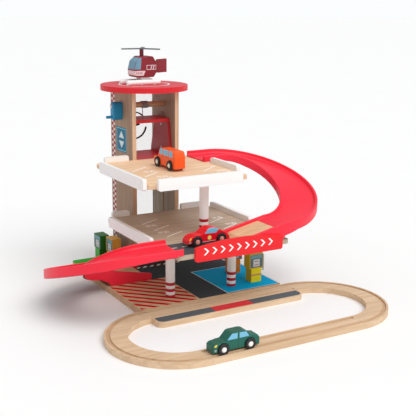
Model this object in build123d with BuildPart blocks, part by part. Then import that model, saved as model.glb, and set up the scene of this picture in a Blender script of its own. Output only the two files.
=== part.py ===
"""Wooden toy parking garage: three levels, crank lift, helipad, two curved chutes,
an oval road track, fuel pumps, three cars and a helicopter.

Origin: centre of the base board's underside. +X runs to the right along the front edge,
+Y goes away from the track, +Z is up. All sizes in millimetres."""
import math
import os

from build123d import *

os.makedirs("parts", exist_ok=True)

# ---------------------------------------------------------------- driving sizes
RUN_GAP = 0.3            # between pieces that move past each other
SHAFT_GAP = 0.05         # radial clearance of a shaft in its bore
SEAT_GAP = 0.2           # between loose pieces that only lie side by side

BASE_W, BASE_D, BASE_T = 293.0, 324.0, 11.5
BASE_CORNER = 8.0
LEVEL_PITCH = 108.5      # from one parking surface to the next
DECK_T = 7.0
DECK_CORNER = 9.0
MID_W, MID_D = 224.0, 288.1
UPPER_W, UPPER_D = 197.2, 224.8
UPPER_X = -34.8          # centre of the upper deck, left of the base's centre
RAIL_T, RAIL_H, RAIL_CORNER = 7.0, 20.0, 4.0

TOWER_X, TOWER_SIDE = -5.75, 100.0
TOWER_SETBACK = 5.4      # from the back of the base board to the back of the tower
PANEL_T = 8.0
TOWER_TOP_GAP = 16.0     # crank axle's centre to the top of the guide grooves
GROOVE_W, GROOVE_DEPTH = 5.0, 4.0
BACK_PANEL_T = 3.0
HEADROOM = 129.0         # upper deck to the underside of the helipad
HELIPAD_D, HELIPAD_T = 171.0, 10.5
SCREW_CAP_D, SCREW_CAP_T, SCREW_D, SCREW_L = 10.0, 3.6, 4.0, 26.0
SCREW_SPAN = 56.0        # between the two screws in one tower panel

PILLAR_D, PILLAR_PEG_D, PILLAR_PEG_L = 16.8, 8.0, 5.0
PILLAR_BEHIND_FRONT = 37.8   # from the front of the base to the pillars
PILLAR_SPAN = 128.2
UPPER_PILLAR_X = -1.7

AXLE_D = 11.0
AXLE_ABOVE_DECK = 99.5   # crank axle's centre above the upper deck
AXLE_BLIND = 6.0
CORD_D, CORD_PITCH, CORD_TURNS = 1.5, 2.0, 7
ARM_T, ARM_W, ARM_REACH, ARM_FOOT = 20.0, 16.0, 21.0, 6.0
ARM_BORE_L = 14.0
ARM_ROUND = 3.0
PEG_D, PEG_OUT = 5.5, 11.5
ARM_SCREW_HEAD_D, ARM_SCREW_HEAD_T, ARM_SCREW_D, ARM_SCREW_L = 8.0, 2.4, 3.0, 16.0

CAB_WALL_T, CAB_FLOOR_T, CAB_ROOF_T = 5.0, 4.0, 6.5
CAB_FLOOR_D, CAB_FOOT_D, CAB_TOP_D = 93.0, 86.0, 57.0
CAB_INNER_H = 66.5
PIN_D, PIN_OUT = 4.4, 3.2
CAB_SIDE_GAP = 0.5

TRACK_L, TRACK_OUT_W, TRACK_BAND, TRACK_T = 293.2, 230.0, 38.0, 10.2
TRACK_X = 6.3
TRACK_GROOVE_W, TRACK_GROOVE_DEPTH, TRACK_GAUGE = 6.6, 2.2, 23.8
KNOB_D, KNOB_NECK_W, KNOB_REACH = 11.0, 5.0, 10.0
STRIP_L, STRIP_D, STRIP_CORNER = 296.0, 27.2, 13.0

CHUTE_OUT_R, CHUTE_IN_R = 139.0, 69.0
CHUTE_WALL_T, CHUTE_SKIRT_T, CHUTE_FLOOR_T = 5.0, 3.0, 3.0
CHUTE_START_L, CHUTE_EXIT_L = 45.4, 89.7
CHUTE_RIM_START = 11.3   # rim above the deck that the chute leaves
CHUTE_RIM_END = 31.0     # rim above the deck that it reaches, at the end of the bend
CHUTE_TIP_RIM = 13.2     # rim above that deck close to the tips
CHUTE_TIP_L = 6.0
CHUTE_DIP_START, CHUTE_DIP_END = 9.2, 4.8    # floor below the rim
CHUTE_SIDE_START, CHUTE_SIDE = 12.9, 17.0    # height of the side
CHUTE_FLOOR_END = 16.0   # the floor ends this far past the bend
CHUTE_STEP = 6.0         # here the sides come down onto the deck
CHUTE_LAP = 12.4         # start of the chute that lies on its deck
RIM_ROUND, FLOOR_ROUND = 0.9, 2.2
BEND_STEPS = 18
LOWER_CHUTE_X, UPPER_CHUTE_X = -145.5, 101.8
RAMP_NOSE = 87.0
RAMP_NOSE_T = 1.2

PUMP_FOOT_W, PUMP_HEAD_W, PUMP_DEPTH = 23.0, 31.0, 20.0
PUMP_FOOT_H, PUMP_HEAD_H = 27.0, 28.0
NOZZLE_D, NOZZLE_L, NOZZLE_BACK = 6.0, 4.0, 5.0

CAR_L, CAR_W, CAR_H = 83.0, 22.0, 32.0
WHEEL_D, WHEEL_T, WHEELBASE = 18.4, 4.4, 47.6
CAR_AXLE_D, HUB_D = 4.0, 8.0
CAR_FLOOR = 5.0
ARCH_GAP = 1.0
ROLL_GAP = 0.2           # under the wheels

HELI_L, HELI_W, HELI_H = 48.0, 34.0, 40.0
FLOAT_L, FLOAT_D, FLOAT_SPAN = 73.0, 10.0, 32.0
STAND_W, STAND_H = 18.0, 14.0
MAST_D, MAST_H = 8.0, 13.0
ROTOR_R, BLADE_W, BLADE_T = 42.5, 7.0, 2.4

# ---------------------------------------------------------------- levels and planes
BASE_TOP = BASE_T
MID_TOP = BASE_TOP + LEVEL_PITCH
UPPER_TOP = MID_TOP + LEVEL_PITCH
TOWER_TOP = UPPER_TOP + HEADROOM
BASE_FRONT = -BASE_D / 2
TOWER_BACK = BASE_D / 2 - TOWER_SETBACK
TOWER_FRONT = TOWER_BACK - TOWER_SIDE
TOWER_Y = (TOWER_FRONT + TOWER_BACK) / 2
SHAFT_W = TOWER_SIDE - 2 * PANEL_T
PANEL_OFFSET = (TOWER_SIDE - PANEL_T) / 2
PILLAR_Y = BASE_FRONT + PILLAR_BEHIND_FRONT
AXLE_Z = UPPER_TOP + AXLE_ABOVE_DECK
MID_FRONT = TOWER_FRONT - MID_D
UPPER_FRONT = TOWER_FRONT - UPPER_D
CHUTE_R = (CHUTE_OUT_R + CHUTE_IN_R) / 2
CHUTE_Y = MID_FRONT + CHUTE_OUT_R + SEAT_GAP
BEND_L = math.pi * CHUTE_R
TRACK_R = (TRACK_OUT_W - TRACK_BAND) / 2
TRACK_Y = BASE_FRONT - SEAT_GAP - TRACK_OUT_W / 2


def save(name, builder):
    """Label a finished piece and write its STEP file."""
    builder.part.label = name
    export_step(builder.part, f"parts/{name}.step")


def board(width, depth, thick, corner, centre, z):
    """A flat board with rounded corners, its underside at z."""
    with BuildPart() as piece:
        with BuildSketch(Plane.XY.offset(z)):
            with Locations(centre):
                RectangleRounded(width, depth, corner)
        extrude(amount=thick)
    return piece


# ---------------------------------------------------------------- base and pillars
with BuildPart() as base_board:
    with BuildSketch():
        RectangleRounded(BASE_W, BASE_D, BASE_CORNER)
    extrude(amount=BASE_T)
    with BuildSketch(Plane.XY.offset(BASE_TOP)):
        with Locations((TOWER_X - PILLAR_SPAN / 2, PILLAR_Y), (TOWER_X + PILLAR_SPAN / 2, PILLAR_Y)):
            Circle(PILLAR_PEG_D / 2)
    extrude(amount=-PILLAR_PEG_L, mode=Mode.SUBTRACT)
save("base_board", base_board)


def pillar(name, x, z_low, z_high):
    """A turned post with a round peg at each end."""
    with BuildPart() as post:
        with BuildSketch(Plane.XY.offset(z_low)):
            with Locations((x, PILLAR_Y)):
                Circle(PILLAR_D / 2)
        extrude(amount=z_high - z_low)
        with BuildSketch(Plane.XY.offset(z_low - PILLAR_PEG_L)):
            with Locations((x, PILLAR_Y)):
                Circle(PILLAR_PEG_D / 2)
        extrude(amount=z_high - z_low + 2 * PILLAR_PEG_L)
    save(name, post)


pillar("front_left_pillar", TOWER_X - PILLAR_SPAN / 2, BASE_TOP, MID_TOP - DECK_T)
pillar("front_right_pillar", TOWER_X + PILLAR_SPAN / 2, BASE_TOP, MID_TOP - DECK_T)
pillar("upper_pillar", UPPER_PILLAR_X, MID_TOP, UPPER_TOP - DECK_T)


# ---------------------------------------------------------------- decks and rails
with BuildPart() as mid_deck:
    with BuildSketch(Plane.XY.offset(MID_TOP - DECK_T)):
        with Locations((0, (MID_FRONT + TOWER_FRONT) / 2)):
            RectangleRounded(MID_W, MID_D, DECK_CORNER)
    extrude(amount=DECK_T)
    with BuildSketch(Plane.XY.offset(MID_TOP - DECK_T)):
        with Locations((TOWER_X - PILLAR_SPAN / 2, PILLAR_Y), (TOWER_X + PILLAR_SPAN / 2, PILLAR_Y)):
            Circle(PILLAR_PEG_D / 2)
    extrude(amount=PILLAR_PEG_L, mode=Mode.SUBTRACT)
    with BuildSketch(Plane.XY.offset(MID_TOP)):
        with Locations((UPPER_PILLAR_X, PILLAR_Y)):
            Circle(PILLAR_PEG_D / 2)
    extrude(amount=-PILLAR_PEG_L, mode=Mode.SUBTRACT)
save("mid_deck", mid_deck)

with BuildPart() as upper_deck:
    with BuildSketch(Plane.XY.offset(UPPER_TOP - DECK_T)):
        with Locations((UPPER_X, (UPPER_FRONT + TOWER_FRONT) / 2)):
            RectangleRounded(UPPER_W, UPPER_D, DECK_CORNER)
    extrude(amount=DECK_T)
    with BuildSketch(Plane.XY.offset(UPPER_TOP - DECK_T)):
        with Locations((UPPER_PILLAR_X, PILLAR_Y)):
            Circle(PILLAR_PEG_D / 2)
    extrude(amount=PILLAR_PEG_L, mode=Mode.SUBTRACT)
save("upper_deck", upper_deck)


def side_rail(name, x_inner, outward, y_from, y_to, deck_top):
    """A rail on a deck's side edge: x_inner is that edge, outward is -1 or 1."""
    with BuildPart() as rail:
        with BuildSketch(Plane.YZ.offset(x_inner)):
            with Locations(((y_from + y_to) / 2, deck_top)):
                RectangleRounded(y_to - y_from, RAIL_H, RAIL_CORNER)
        extrude(amount=outward * RAIL_T)
    save(name, rail)


def end_rail(y_inner, outward, x_from, x_to, deck_top):
    """A rail on a deck's front or back edge: y_inner is that edge."""
    with BuildPart() as rail:
        with BuildSketch(Plane.XZ.offset(-y_inner)):
            with Locations(((x_from + x_to) / 2, deck_top)):
                RectangleRounded(x_to - x_from, RAIL_H, RAIL_CORNER)
        extrude(amount=-outward * RAIL_T)
    return rail


UPPER_LEFT, UPPER_RIGHT = UPPER_X - UPPER_W / 2, UPPER_X + UPPER_W / 2
side_rail("upper_left_rail", UPPER_LEFT, -1, UPPER_FRONT + 6, TOWER_FRONT - 36, UPPER_TOP)
side_rail("upper_right_rail", UPPER_RIGHT, 1, UPPER_FRONT + 41, CHUTE_Y + CHUTE_IN_R - 10, UPPER_TOP)
side_rail("mid_left_rail", -MID_W / 2, -1, CHUTE_Y - CHUTE_IN_R + 18, TOWER_FRONT - 25, MID_TOP)
side_rail("mid_right_rail", MID_W / 2, 1, CHUTE_Y - CHUTE_IN_R + 64, TOWER_FRONT - 8, MID_TOP)
save("upper_front_rail", end_rail(UPPER_FRONT, -1, UPPER_LEFT + 15.5, UPPER_RIGHT - 16, UPPER_TOP))
save("upper_back_rail", end_rail(TOWER_FRONT, 1, UPPER_LEFT + 20, TOWER_X - TOWER_SIDE / 2 - 8, UPPER_TOP))

with BuildPart() as mid_back_rails:
    add(end_rail(TOWER_FRONT, 1, -MID_W / 2 + 12, TOWER_X - TOWER_SIDE / 2 - 8, MID_TOP).part)
    add(end_rail(TOWER_FRONT, 1, TOWER_X + TOWER_SIDE / 2 + 6, MID_W / 2 - 12, MID_TOP).part)
save("mid_back_rails", mid_back_rails)

# The front board stands on the mid deck's front edge, with a gently arched top.
SIGN_LEFT, SIGN_RIGHT, SIGN_T = -81.7, 92.6, 5.0
SIGN_BELOW, SIGN_LOW_RISE, SIGN_HIGH_RISE = 13.0, 11.5, 19.0
with BuildPart() as front_sign:
    with BuildSketch(Plane.XZ.offset(-MID_FRONT)):
        with BuildLine():
            low = Polyline(
                (SIGN_LEFT, MID_TOP + SIGN_LOW_RISE),
                (SIGN_LEFT, MID_TOP - SIGN_BELOW),
                (SIGN_RIGHT, MID_TOP - SIGN_BELOW),
                (SIGN_RIGHT, MID_TOP + SIGN_LOW_RISE),
            )
            ThreePointArc(
                low @ 1,
                ((SIGN_LEFT + SIGN_RIGHT) / 2, MID_TOP + SIGN_HIGH_RISE),
                low @ 0,
            )
        make_face()
    extrude(amount=SIGN_T)
    fillet(front_sign.edges().filter_by(Axis.Y), radius=RAIL_CORNER)
save("front_sign", front_sign)


# ---------------------------------------------------------------- lift tower
def tower_panel(name, side):
    """One upright of the tower, with the guide groove and the axle's bore; side is -1 or 1."""
    inner_face = TOWER_X + side * SHAFT_W / 2
    with BuildPart() as panel:
        with BuildSketch(Plane.XY.offset(BASE_TOP)):
            with Locations((TOWER_X + side * PANEL_OFFSET, TOWER_Y)):
                Rectangle(PANEL_T, TOWER_SIDE)
        extrude(amount=TOWER_TOP - BASE_TOP)
        with BuildSketch(Plane.XY.offset(BASE_TOP)):
            with Locations((inner_face + side * GROOVE_DEPTH / 2, TOWER_Y)):
                Rectangle(GROOVE_DEPTH, GROOVE_W)
        extrude(amount=AXLE_Z - TOWER_TOP_GAP - BASE_TOP, mode=Mode.SUBTRACT)
        with BuildSketch(Plane.YZ.offset(inner_face)):
            with Locations((TOWER_Y, AXLE_Z)):
                Circle(AXLE_D / 2 + SHAFT_GAP)
        extrude(amount=-PANEL_T if side < 0 else AXLE_BLIND, mode=Mode.SUBTRACT)
        with BuildSketch(Plane.XY.offset(TOWER_TOP)):
            with Locations((TOWER_X + side * PANEL_OFFSET, TOWER_Y)):
                with GridLocations(1, SCREW_SPAN, 1, 2):
                    Circle(SCREW_D / 2)
        extrude(amount=HELIPAD_T - SCREW_CAP_T - SCREW_L, mode=Mode.SUBTRACT)
    save(name, panel)


tower_panel("tower_left_panel", -1)
tower_panel("tower_right_panel", 1)

with BuildPart() as tower_back_panel:
    with BuildSketch(Plane.XY.offset(BASE_TOP)):
        with Locations((TOWER_X, TOWER_BACK - BACK_PANEL_T / 2)):
            Rectangle(SHAFT_W, BACK_PANEL_T)
    extrude(amount=TOWER_TOP - BASE_TOP)
save("tower_back_panel", tower_back_panel)

with BuildPart() as helipad:
    with BuildSketch(Plane.XY.offset(TOWER_TOP)):
        with Locations((TOWER_X, TOWER_Y)):
            Circle(HELIPAD_D / 2)
    extrude(amount=HELIPAD_T)
    fillet(helipad.edges().group_by(Axis.Z)[-1], radius=1.0)
    with Locations((TOWER_X, TOWER_Y, TOWER_TOP + HELIPAD_T)):
        with GridLocations(2 * PANEL_OFFSET, SCREW_SPAN, 2, 2):
            CounterBoreHole(SCREW_D / 2, SCREW_CAP_D / 2, SCREW_CAP_T)
save("helipad", helipad)

with BuildPart() as helipad_screws:
    cap_seat = TOWER_TOP + HELIPAD_T - SCREW_CAP_T
    with BuildSketch(Plane.XY.offset(cap_seat)):
        with Locations((TOWER_X, TOWER_Y)):
            with GridLocations(2 * PANEL_OFFSET, SCREW_SPAN, 2, 2):
                Circle(SCREW_CAP_D / 2)
    extrude(amount=SCREW_CAP_T)
    with BuildSketch(Plane.XY.offset(cap_seat)):
        with Locations((TOWER_X, TOWER_Y)):
            with GridLocations(2 * PANEL_OFFSET, SCREW_SPAN, 2, 2):
                Circle(SCREW_D / 2)
    extrude(amount=-SCREW_L)
save("helipad_screws", helipad_screws)

# ---------------------------------------------------------------- crank, axle and cord
PANEL_OUTER = TOWER_X - TOWER_SIDE / 2
ARM_INNER = PANEL_OUTER - RUN_GAP
ARM_OUTER = ARM_INNER - ARM_T
AXLE_LEFT = ARM_INNER - ARM_BORE_L
AXLE_RIGHT = TOWER_X + SHAFT_W / 2 + AXLE_BLIND - RUN_GAP
WIND_R = AXLE_D / 2 + SHAFT_GAP + CORD_D / 2
WIND_L = CORD_PITCH * CORD_TURNS
WIND_LEFT = TOWER_X - WIND_L / 2

with BuildPart() as lift_axle:
    with BuildSketch(Plane.YZ.offset(AXLE_LEFT)):
        with Locations((TOWER_Y, AXLE_Z)):
            Circle(AXLE_D / 2)
    extrude(amount=AXLE_RIGHT - AXLE_LEFT)
    with BuildSketch(Plane.YZ.offset(AXLE_LEFT)):
        with Locations((TOWER_Y, AXLE_Z)):
            Circle(ARM_SCREW_D / 2)
    extrude(amount=ARM_SCREW_L - (ARM_T - ARM_BORE_L), mode=Mode.SUBTRACT)
save("lift_axle", lift_axle)

with BuildPart() as crank_arm:
    with BuildSketch(Plane.YZ.offset(ARM_OUTER)):
        with Locations((TOWER_Y, AXLE_Z + (ARM_W / 2 - ARM_REACH - ARM_FOOT) / 2)):
            RectangleRounded(ARM_W, ARM_W / 2 + ARM_REACH + ARM_FOOT, ARM_W / 2 - 1)
    extrude(amount=ARM_T)
    fillet(crank_arm.faces().sort_by(Axis.X)[0].edges(), radius=ARM_ROUND)
    with BuildSketch(Plane.YZ.offset(ARM_INNER)):
        with Locations((TOWER_Y, AXLE_Z)):
            Circle(AXLE_D / 2)
    extrude(amount=-ARM_BORE_L, mode=Mode.SUBTRACT)
    with BuildSketch(Plane.YZ.offset(ARM_OUTER)):
        with Locations((TOWER_Y, AXLE_Z)):
            Circle(ARM_SCREW_D / 2)
        with Locations((TOWER_Y, AXLE_Z - ARM_REACH)):
            Circle(PEG_D / 2)
    extrude(amount=ARM_T - ARM_BORE_L, mode=Mode.SUBTRACT)
save("crank_arm", crank_arm)

with BuildPart() as crank_peg:
    with BuildSketch(Plane.YZ.offset(ARM_OUTER - PEG_OUT)):
        with Locations((TOWER_Y, AXLE_Z - ARM_REACH)):
            Circle(PEG_D / 2)
    extrude(amount=PEG_OUT + ARM_T - ARM_BORE_L)
    fillet(crank_peg.edges().group_by(Axis.X)[0], radius=1.2)
save("crank_peg", crank_peg)

with BuildPart() as crank_screw:
    with BuildSketch(Plane.YZ.offset(ARM_OUTER)):
        with Locations((TOWER_Y, AXLE_Z)):
            Circle(ARM_SCREW_HEAD_D / 2)
    extrude(amount=-ARM_SCREW_HEAD_T)
    fillet(crank_screw.edges().group_by(Axis.X)[0], radius=1.6)
    with BuildSketch(Plane.YZ.offset(ARM_OUTER)):
        with Locations((TOWER_Y, AXLE_Z)):
            Circle(ARM_SCREW_D / 2)
    extrude(amount=ARM_SCREW_L)
save("crank_screw", crank_screw)

# The cord is wound on the axle in one layer and leaves it at the front, straight down.
with BuildPart() as upright_winding:
    with BuildLine() as turns:
        Helix(CORD_PITCH, WIND_L, WIND_R, lefthand=True)
    with BuildSketch(Plane(turns.wire() @ 0, z_dir=turns.wire() % 0)):
        Circle(CORD_D / 2)
    sweep(path=turns.wire(), is_frenet=True)

with BuildPart() as cord_winding:
    with Locations(Plane((WIND_LEFT, TOWER_Y, AXLE_Z), x_dir=(0, -1, 0), z_dir=(1, 0, 0)).location):
        add(upright_winding.part)
save("cord_winding", cord_winding)
print("least gap between turns of the lift cord:", round(CORD_PITCH - CORD_D, 2))

# ---------------------------------------------------------------- lift cab
CAB_W = SHAFT_W - 2 * CAB_SIDE_GAP
CAB_BACK = TOWER_BACK - BACK_PANEL_T - 1.4
CAB_FLOOR_Y = CAB_BACK - CAB_FLOOR_D / 2
CAB_ROOF_Z = UPPER_TOP + CAB_INNER_H
CORD_Y = TOWER_Y - WIND_R
save("lift_floor", board(CAB_W, CAB_FLOOR_D, CAB_FLOOR_T, 1.5, (TOWER_X, CAB_FLOOR_Y), UPPER_TOP - CAB_FLOOR_T))

with BuildPart() as lift_roof:
    with BuildSketch(Plane.XY.offset(CAB_ROOF_Z)):
        with Locations((TOWER_X, TOWER_Y)):
            RectangleRounded(CAB_W, CAB_TOP_D, 2.0)
    extrude(amount=CAB_ROOF_T)
    with Locations((WIND_LEFT, CORD_Y, CAB_ROOF_Z + CAB_ROOF_T)):
        Hole(CORD_D / 2 + SHAFT_GAP)
save("lift_roof", lift_roof)

PIN_LOW, PIN_HIGH = 12.0, CAB_INNER_H - 8.0


def cab_wall(name, side):
    """A tapering side wall of the cab, wider at its foot; side is -1 or 1."""
    with BuildPart() as wall:
        with BuildSketch(Plane.YZ.offset(TOWER_X + side * CAB_W / 2)):
            with BuildLine():
                Polyline(
                    (CAB_BACK - CAB_FOOT_D, UPPER_TOP),
                    (CAB_BACK, UPPER_TOP),
                    (CAB_BACK - 1.0, UPPER_TOP + 9),
                    (TOWER_Y + CAB_TOP_D / 2, CAB_ROOF_Z),
                    (TOWER_Y - CAB_TOP_D / 2, CAB_ROOF_Z),
                    (CAB_BACK - CAB_FOOT_D + 2.0, UPPER_TOP + 9),
                    close=True,
                )
            make_face()
            with Locations((TOWER_Y, UPPER_TOP + PIN_LOW), (TOWER_Y, UPPER_TOP + PIN_HIGH)):
                Circle(PIN_D / 2, mode=Mode.SUBTRACT)
        extrude(amount=-side * CAB_WALL_T)
    save(name, wall)


cab_wall("lift_left_wall", -1)
cab_wall("lift_right_wall", 1)

with BuildPart() as lift_guide_pins:
    for side in (-1, 1):
        with BuildSketch(Plane.YZ.offset(TOWER_X + side * (CAB_W / 2 + PIN_OUT))):
            with Locations((TOWER_Y, UPPER_TOP + PIN_LOW), (TOWER_Y, UPPER_TOP + PIN_HIGH)):
                Circle(PIN_D / 2)
        extrude(amount=-side * (CAB_WALL_T + PIN_OUT))
save("lift_guide_pins", lift_guide_pins)

# The hanging cord: straight from the winding down through the cab's roof, with its knot below.
KNOT_D, KNOT_H = 4.0, 3.0
with BuildPart() as lift_cord:
    with BuildSketch(Plane.XY.offset(CAB_ROOF_Z - KNOT_H)):
        with Locations((WIND_LEFT, CORD_Y)):
            Circle(CORD_D / 2)
    extrude(amount=AXLE_Z - CORD_D - CAB_ROOF_Z + KNOT_H)
    with BuildSketch(Plane.XY.offset(CAB_ROOF_Z - KNOT_H)):
        with Locations((WIND_LEFT, CORD_Y)):
            Circle(KNOT_D / 2)
    extrude(amount=KNOT_H)
save("lift_cord", lift_cord)


# ---------------------------------------------------------------- oval track
def connector(play):
    """Outline of a track connector that points along +X from the origin."""
    with BuildSketch(mode=Mode.PRIVATE) as outline:
        with Locations((KNOB_REACH / 2 - 1, 0)):
            Rectangle(KNOB_REACH + 2, KNOB_NECK_W + 2 * play)
        with Locations((KNOB_REACH, 0)):
            Circle(KNOB_D / 2 + play)
    return outline.sketch


HALF_L = TRACK_L / 2
GROOVE_OFFSETS = (-TRACK_GAUGE / 2, TRACK_GAUGE / 2)


def straight_piece(name, turned):
    """A straight of the oval: socket at one end, knob at the other; turned is 0 or 180."""
    with BuildPart() as piece:
        with BuildSketch(Plane((TRACK_X, TRACK_Y, 0)).rotated((0, 0, turned))):
            with Locations((0, -TRACK_R)):
                Rectangle(TRACK_L - SEAT_GAP, TRACK_BAND)
            with Locations((HALF_L, -TRACK_R)):
                add(connector(0))
            with Locations((-HALF_L, -TRACK_R)):
                add(connector(SEAT_GAP), mode=Mode.SUBTRACT)
        extrude(amount=TRACK_T)
        with BuildSketch(Plane((TRACK_X, TRACK_Y, TRACK_T)).rotated((0, 0, turned))):
            for offset_y in GROOVE_OFFSETS:
                with Locations((0, -TRACK_R + offset_y)):
                    Rectangle(TRACK_L + 60, TRACK_GROOVE_W)
        extrude(amount=-TRACK_GROOVE_DEPTH, mode=Mode.SUBTRACT)
    save(name, piece)


def curve_piece(name, turned):
    """A half-circle end of the oval, from the near straight to the far one."""
    with BuildPart() as piece:
        with BuildSketch(Plane((TRACK_X, TRACK_Y, 0)).rotated((0, 0, turned))):
            with Locations((HALF_L, 0)):
                Circle(TRACK_R + TRACK_BAND / 2)
                Circle(TRACK_R - TRACK_BAND / 2, mode=Mode.SUBTRACT)
            with Locations((HALF_L - TRACK_OUT_W / 2, 0)):
                Rectangle(TRACK_OUT_W, TRACK_OUT_W, mode=Mode.SUBTRACT)
            with Locations((HALF_L, -TRACK_R)):
                add(connector(SEAT_GAP), mode=Mode.SUBTRACT)
            with Locations(Location((HALF_L, TRACK_R), 180)):
                add(connector(0))
        extrude(amount=TRACK_T)
        with BuildSketch(Plane((TRACK_X, TRACK_Y, TRACK_T)).rotated((0, 0, turned))):
            for offset_r in GROOVE_OFFSETS:
                with Locations((HALF_L, 0)):
                    Circle(TRACK_R + offset_r + TRACK_GROOVE_W / 2)
                    Circle(TRACK_R + offset_r - TRACK_GROOVE_W / 2, mode=Mode.SUBTRACT)
        extrude(amount=-TRACK_GROOVE_DEPTH, mode=Mode.SUBTRACT)
    save(name, piece)


straight_piece("near_track_straight", 0)
straight_piece("far_track_straight", 180)
curve_piece("right_track_curve", 0)
curve_piece("left_track_curve", 180)

# The parking strip lies against the inner edge of the far straight.
STRIP_BACK = TRACK_Y + TRACK_R - TRACK_BAND / 2 - SEAT_GAP
with BuildPart() as parking_strip:
    with BuildSketch():
        with Locations((TRACK_X - 2.9, STRIP_BACK - STRIP_D / 2)):
            Rectangle(STRIP_L, STRIP_D)
    extrude(amount=TRACK_T)
    fillet(parking_strip.edges().filter_by(Axis.Z).group_by(Axis.Y)[0], radius=STRIP_CORNER)
save("parking_strip", parking_strip)


# ---------------------------------------------------------------- chutes
def rim_height(along):
    """Rim above the deck that the chute reaches, at this distance past the start of the bend."""
    top = LEVEL_PITCH + CHUTE_RIM_START
    if along <= 0:
        return top
    if along <= BEND_L:
        share = along / BEND_L
        return top - (top - CHUTE_RIM_END) * share * share * (3 - 2 * share)
    share = (along - BEND_L) / (CHUTE_EXIT_L - CHUTE_TIP_L)
    return CHUTE_RIM_END - (CHUTE_RIM_END - CHUTE_TIP_RIM) * share


def floor_dip(along):
    """Floor below the rim: deep at the start, shallow at the end."""
    share = min(max(along / BEND_L, 0), 1)
    return CHUTE_DIP_START - (CHUTE_DIP_START - CHUTE_DIP_END) * share


def station(along):
    """Plane across the chute, its x axis pointing away from the bend's centre line."""
    turn = min(max(along / CHUTE_R, 0), math.pi)
    outward = Vector(-math.sin(turn), -math.cos(turn), 0)
    forward = Vector(-math.cos(turn), math.sin(turn), 0)
    past = along if along < 0 else max(along - BEND_L, 0)
    return Plane(forward * past, x_dir=outward, z_dir=forward)


def side_height(along):
    """Height of the chute's side: grows into the bend, and again towards the lower deck."""
    share = min(max(along / (0.2 * BEND_L), 0), 1)
    height = CHUTE_SIDE_START + (CHUTE_SIDE - CHUTE_SIDE_START) * share
    if along > 0.93 * BEND_L:
        low_share = (along - 0.93 * BEND_L) / (0.07 * BEND_L)
        height += 6.0 * min(low_share, 1)
    if along >= BEND_L + CHUTE_STEP:
        height = rim_height(along)
    return height


def trough_section(along):
    """Closed outline of the trough: two walls with rounded rims, a floor, and skirts below it."""
    top = rim_height(along)
    foot = top - side_height(along)
    floor = top - floor_dip(along)
    under = floor - CHUTE_FLOOR_T
    right = [
        (CHUTE_OUT_R - CHUTE_SKIRT_T, under),
        (CHUTE_OUT_R - CHUTE_SKIRT_T, foot),
        (CHUTE_OUT_R, foot),
        (CHUTE_OUT_R, top - RIM_ROUND),
        (CHUTE_OUT_R - RIM_ROUND, top),
        (CHUTE_OUT_R - CHUTE_WALL_T + RIM_ROUND, top),
        (CHUTE_OUT_R - CHUTE_WALL_T, top - RIM_ROUND),
        (CHUTE_OUT_R - CHUTE_WALL_T, floor + FLOOR_ROUND),
        (CHUTE_OUT_R - CHUTE_WALL_T - FLOOR_ROUND, floor),
    ]
    left = [(2 * CHUTE_R - r, z) for r, z in reversed(right)]
    return right + left


def finger_section(along, outer_r, inner_r):
    """Outline of one wall where it runs on past the floor, down to the lower deck."""
    top = rim_height(along)
    return [
        (inner_r, 0),
        (outer_r, 0),
        (outer_r, top - RIM_ROUND),
        (outer_r - RIM_ROUND, top),
        (inner_r + RIM_ROUND, top),
        (inner_r, top - RIM_ROUND),
    ]


trough_stops = [-CHUTE_START_L, -CHUTE_START_L + CHUTE_LAP, 0]
trough_stops += [BEND_L * step / BEND_STEPS for step in range(1, BEND_STEPS + 1)]
trough_stops += [BEND_L + CHUTE_STEP, BEND_L + CHUTE_FLOOR_END]
finger_stops = [BEND_L + CHUTE_FLOOR_END, BEND_L + CHUTE_EXIT_L - CHUTE_TIP_L, BEND_L + CHUTE_EXIT_L]

with BuildPart() as chute:
    for along in trough_stops:
        with BuildSketch(station(along)):
            with BuildLine():
                Polyline(*trough_section(along), close=True)
            make_face()
    loft(ruled=True)
    for outer_r in (CHUTE_OUT_R, CHUTE_IN_R + CHUTE_WALL_T):
        for along in finger_stops:
            with BuildSketch(station(along)):
                with BuildLine():
                    Polyline(*finger_section(along, outer_r, outer_r - CHUTE_WALL_T), close=True)
                make_face()
        loft(ruled=True)
    # What lies on the upper deck is cut level with that deck.
    with BuildSketch(Plane.XY.offset(LEVEL_PITCH)):
        with Locations((CHUTE_START_L - CHUTE_LAP / 2 + 1, -CHUTE_R)):
            Rectangle(CHUTE_LAP + 2, CHUTE_OUT_R - CHUTE_IN_R + 2)
    extrude(amount=-CHUTE_SIDE, mode=Mode.SUBTRACT)
    tips = chute.edges().filter_by(Axis.Z).group_by(Axis.X)[-1]
    fillet(tips, radius=CHUTE_WALL_T / 2 - 0.3)

with BuildPart() as lower_chute:
    with Locations((LOWER_CHUTE_X, CHUTE_Y, BASE_TOP)):
        add(chute.part)
save("lower_chute", lower_chute)

with BuildPart() as upper_chute:
    with Locations(Location((UPPER_CHUTE_X, CHUTE_Y, MID_TOP), (0, 0, 180))):
        add(chute.part)
save("upper_chute", upper_chute)


# A wooden wedge between the chute's walls carries on from the moulded floor to the deck.
def ramp(name, plane):
    """Plane: x along the exit, y up, at the bend's end and the middle of the exit."""
    head_x = CHUTE_FLOOR_END + SEAT_GAP
    head_z = rim_height(BEND_L + head_x) - CHUTE_DIP_END - 0.4
    knee_x = RAMP_NOSE - 10
    knee_z = rim_height(BEND_L + knee_x) - CHUTE_DIP_END - 0.4
    with BuildPart() as wedge:
        with BuildSketch(plane):
            with BuildLine():
                Polyline(
                    (head_x, 0), (RAMP_NOSE, 0), (RAMP_NOSE, RAMP_NOSE_T),
                    (knee_x, knee_z), (head_x, head_z), close=True,
                )
            make_face()
        extrude(amount=(CHUTE_OUT_R - CHUTE_IN_R) / 2 - CHUTE_WALL_T - SEAT_GAP, both=True)
    save(name, wedge)


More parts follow.
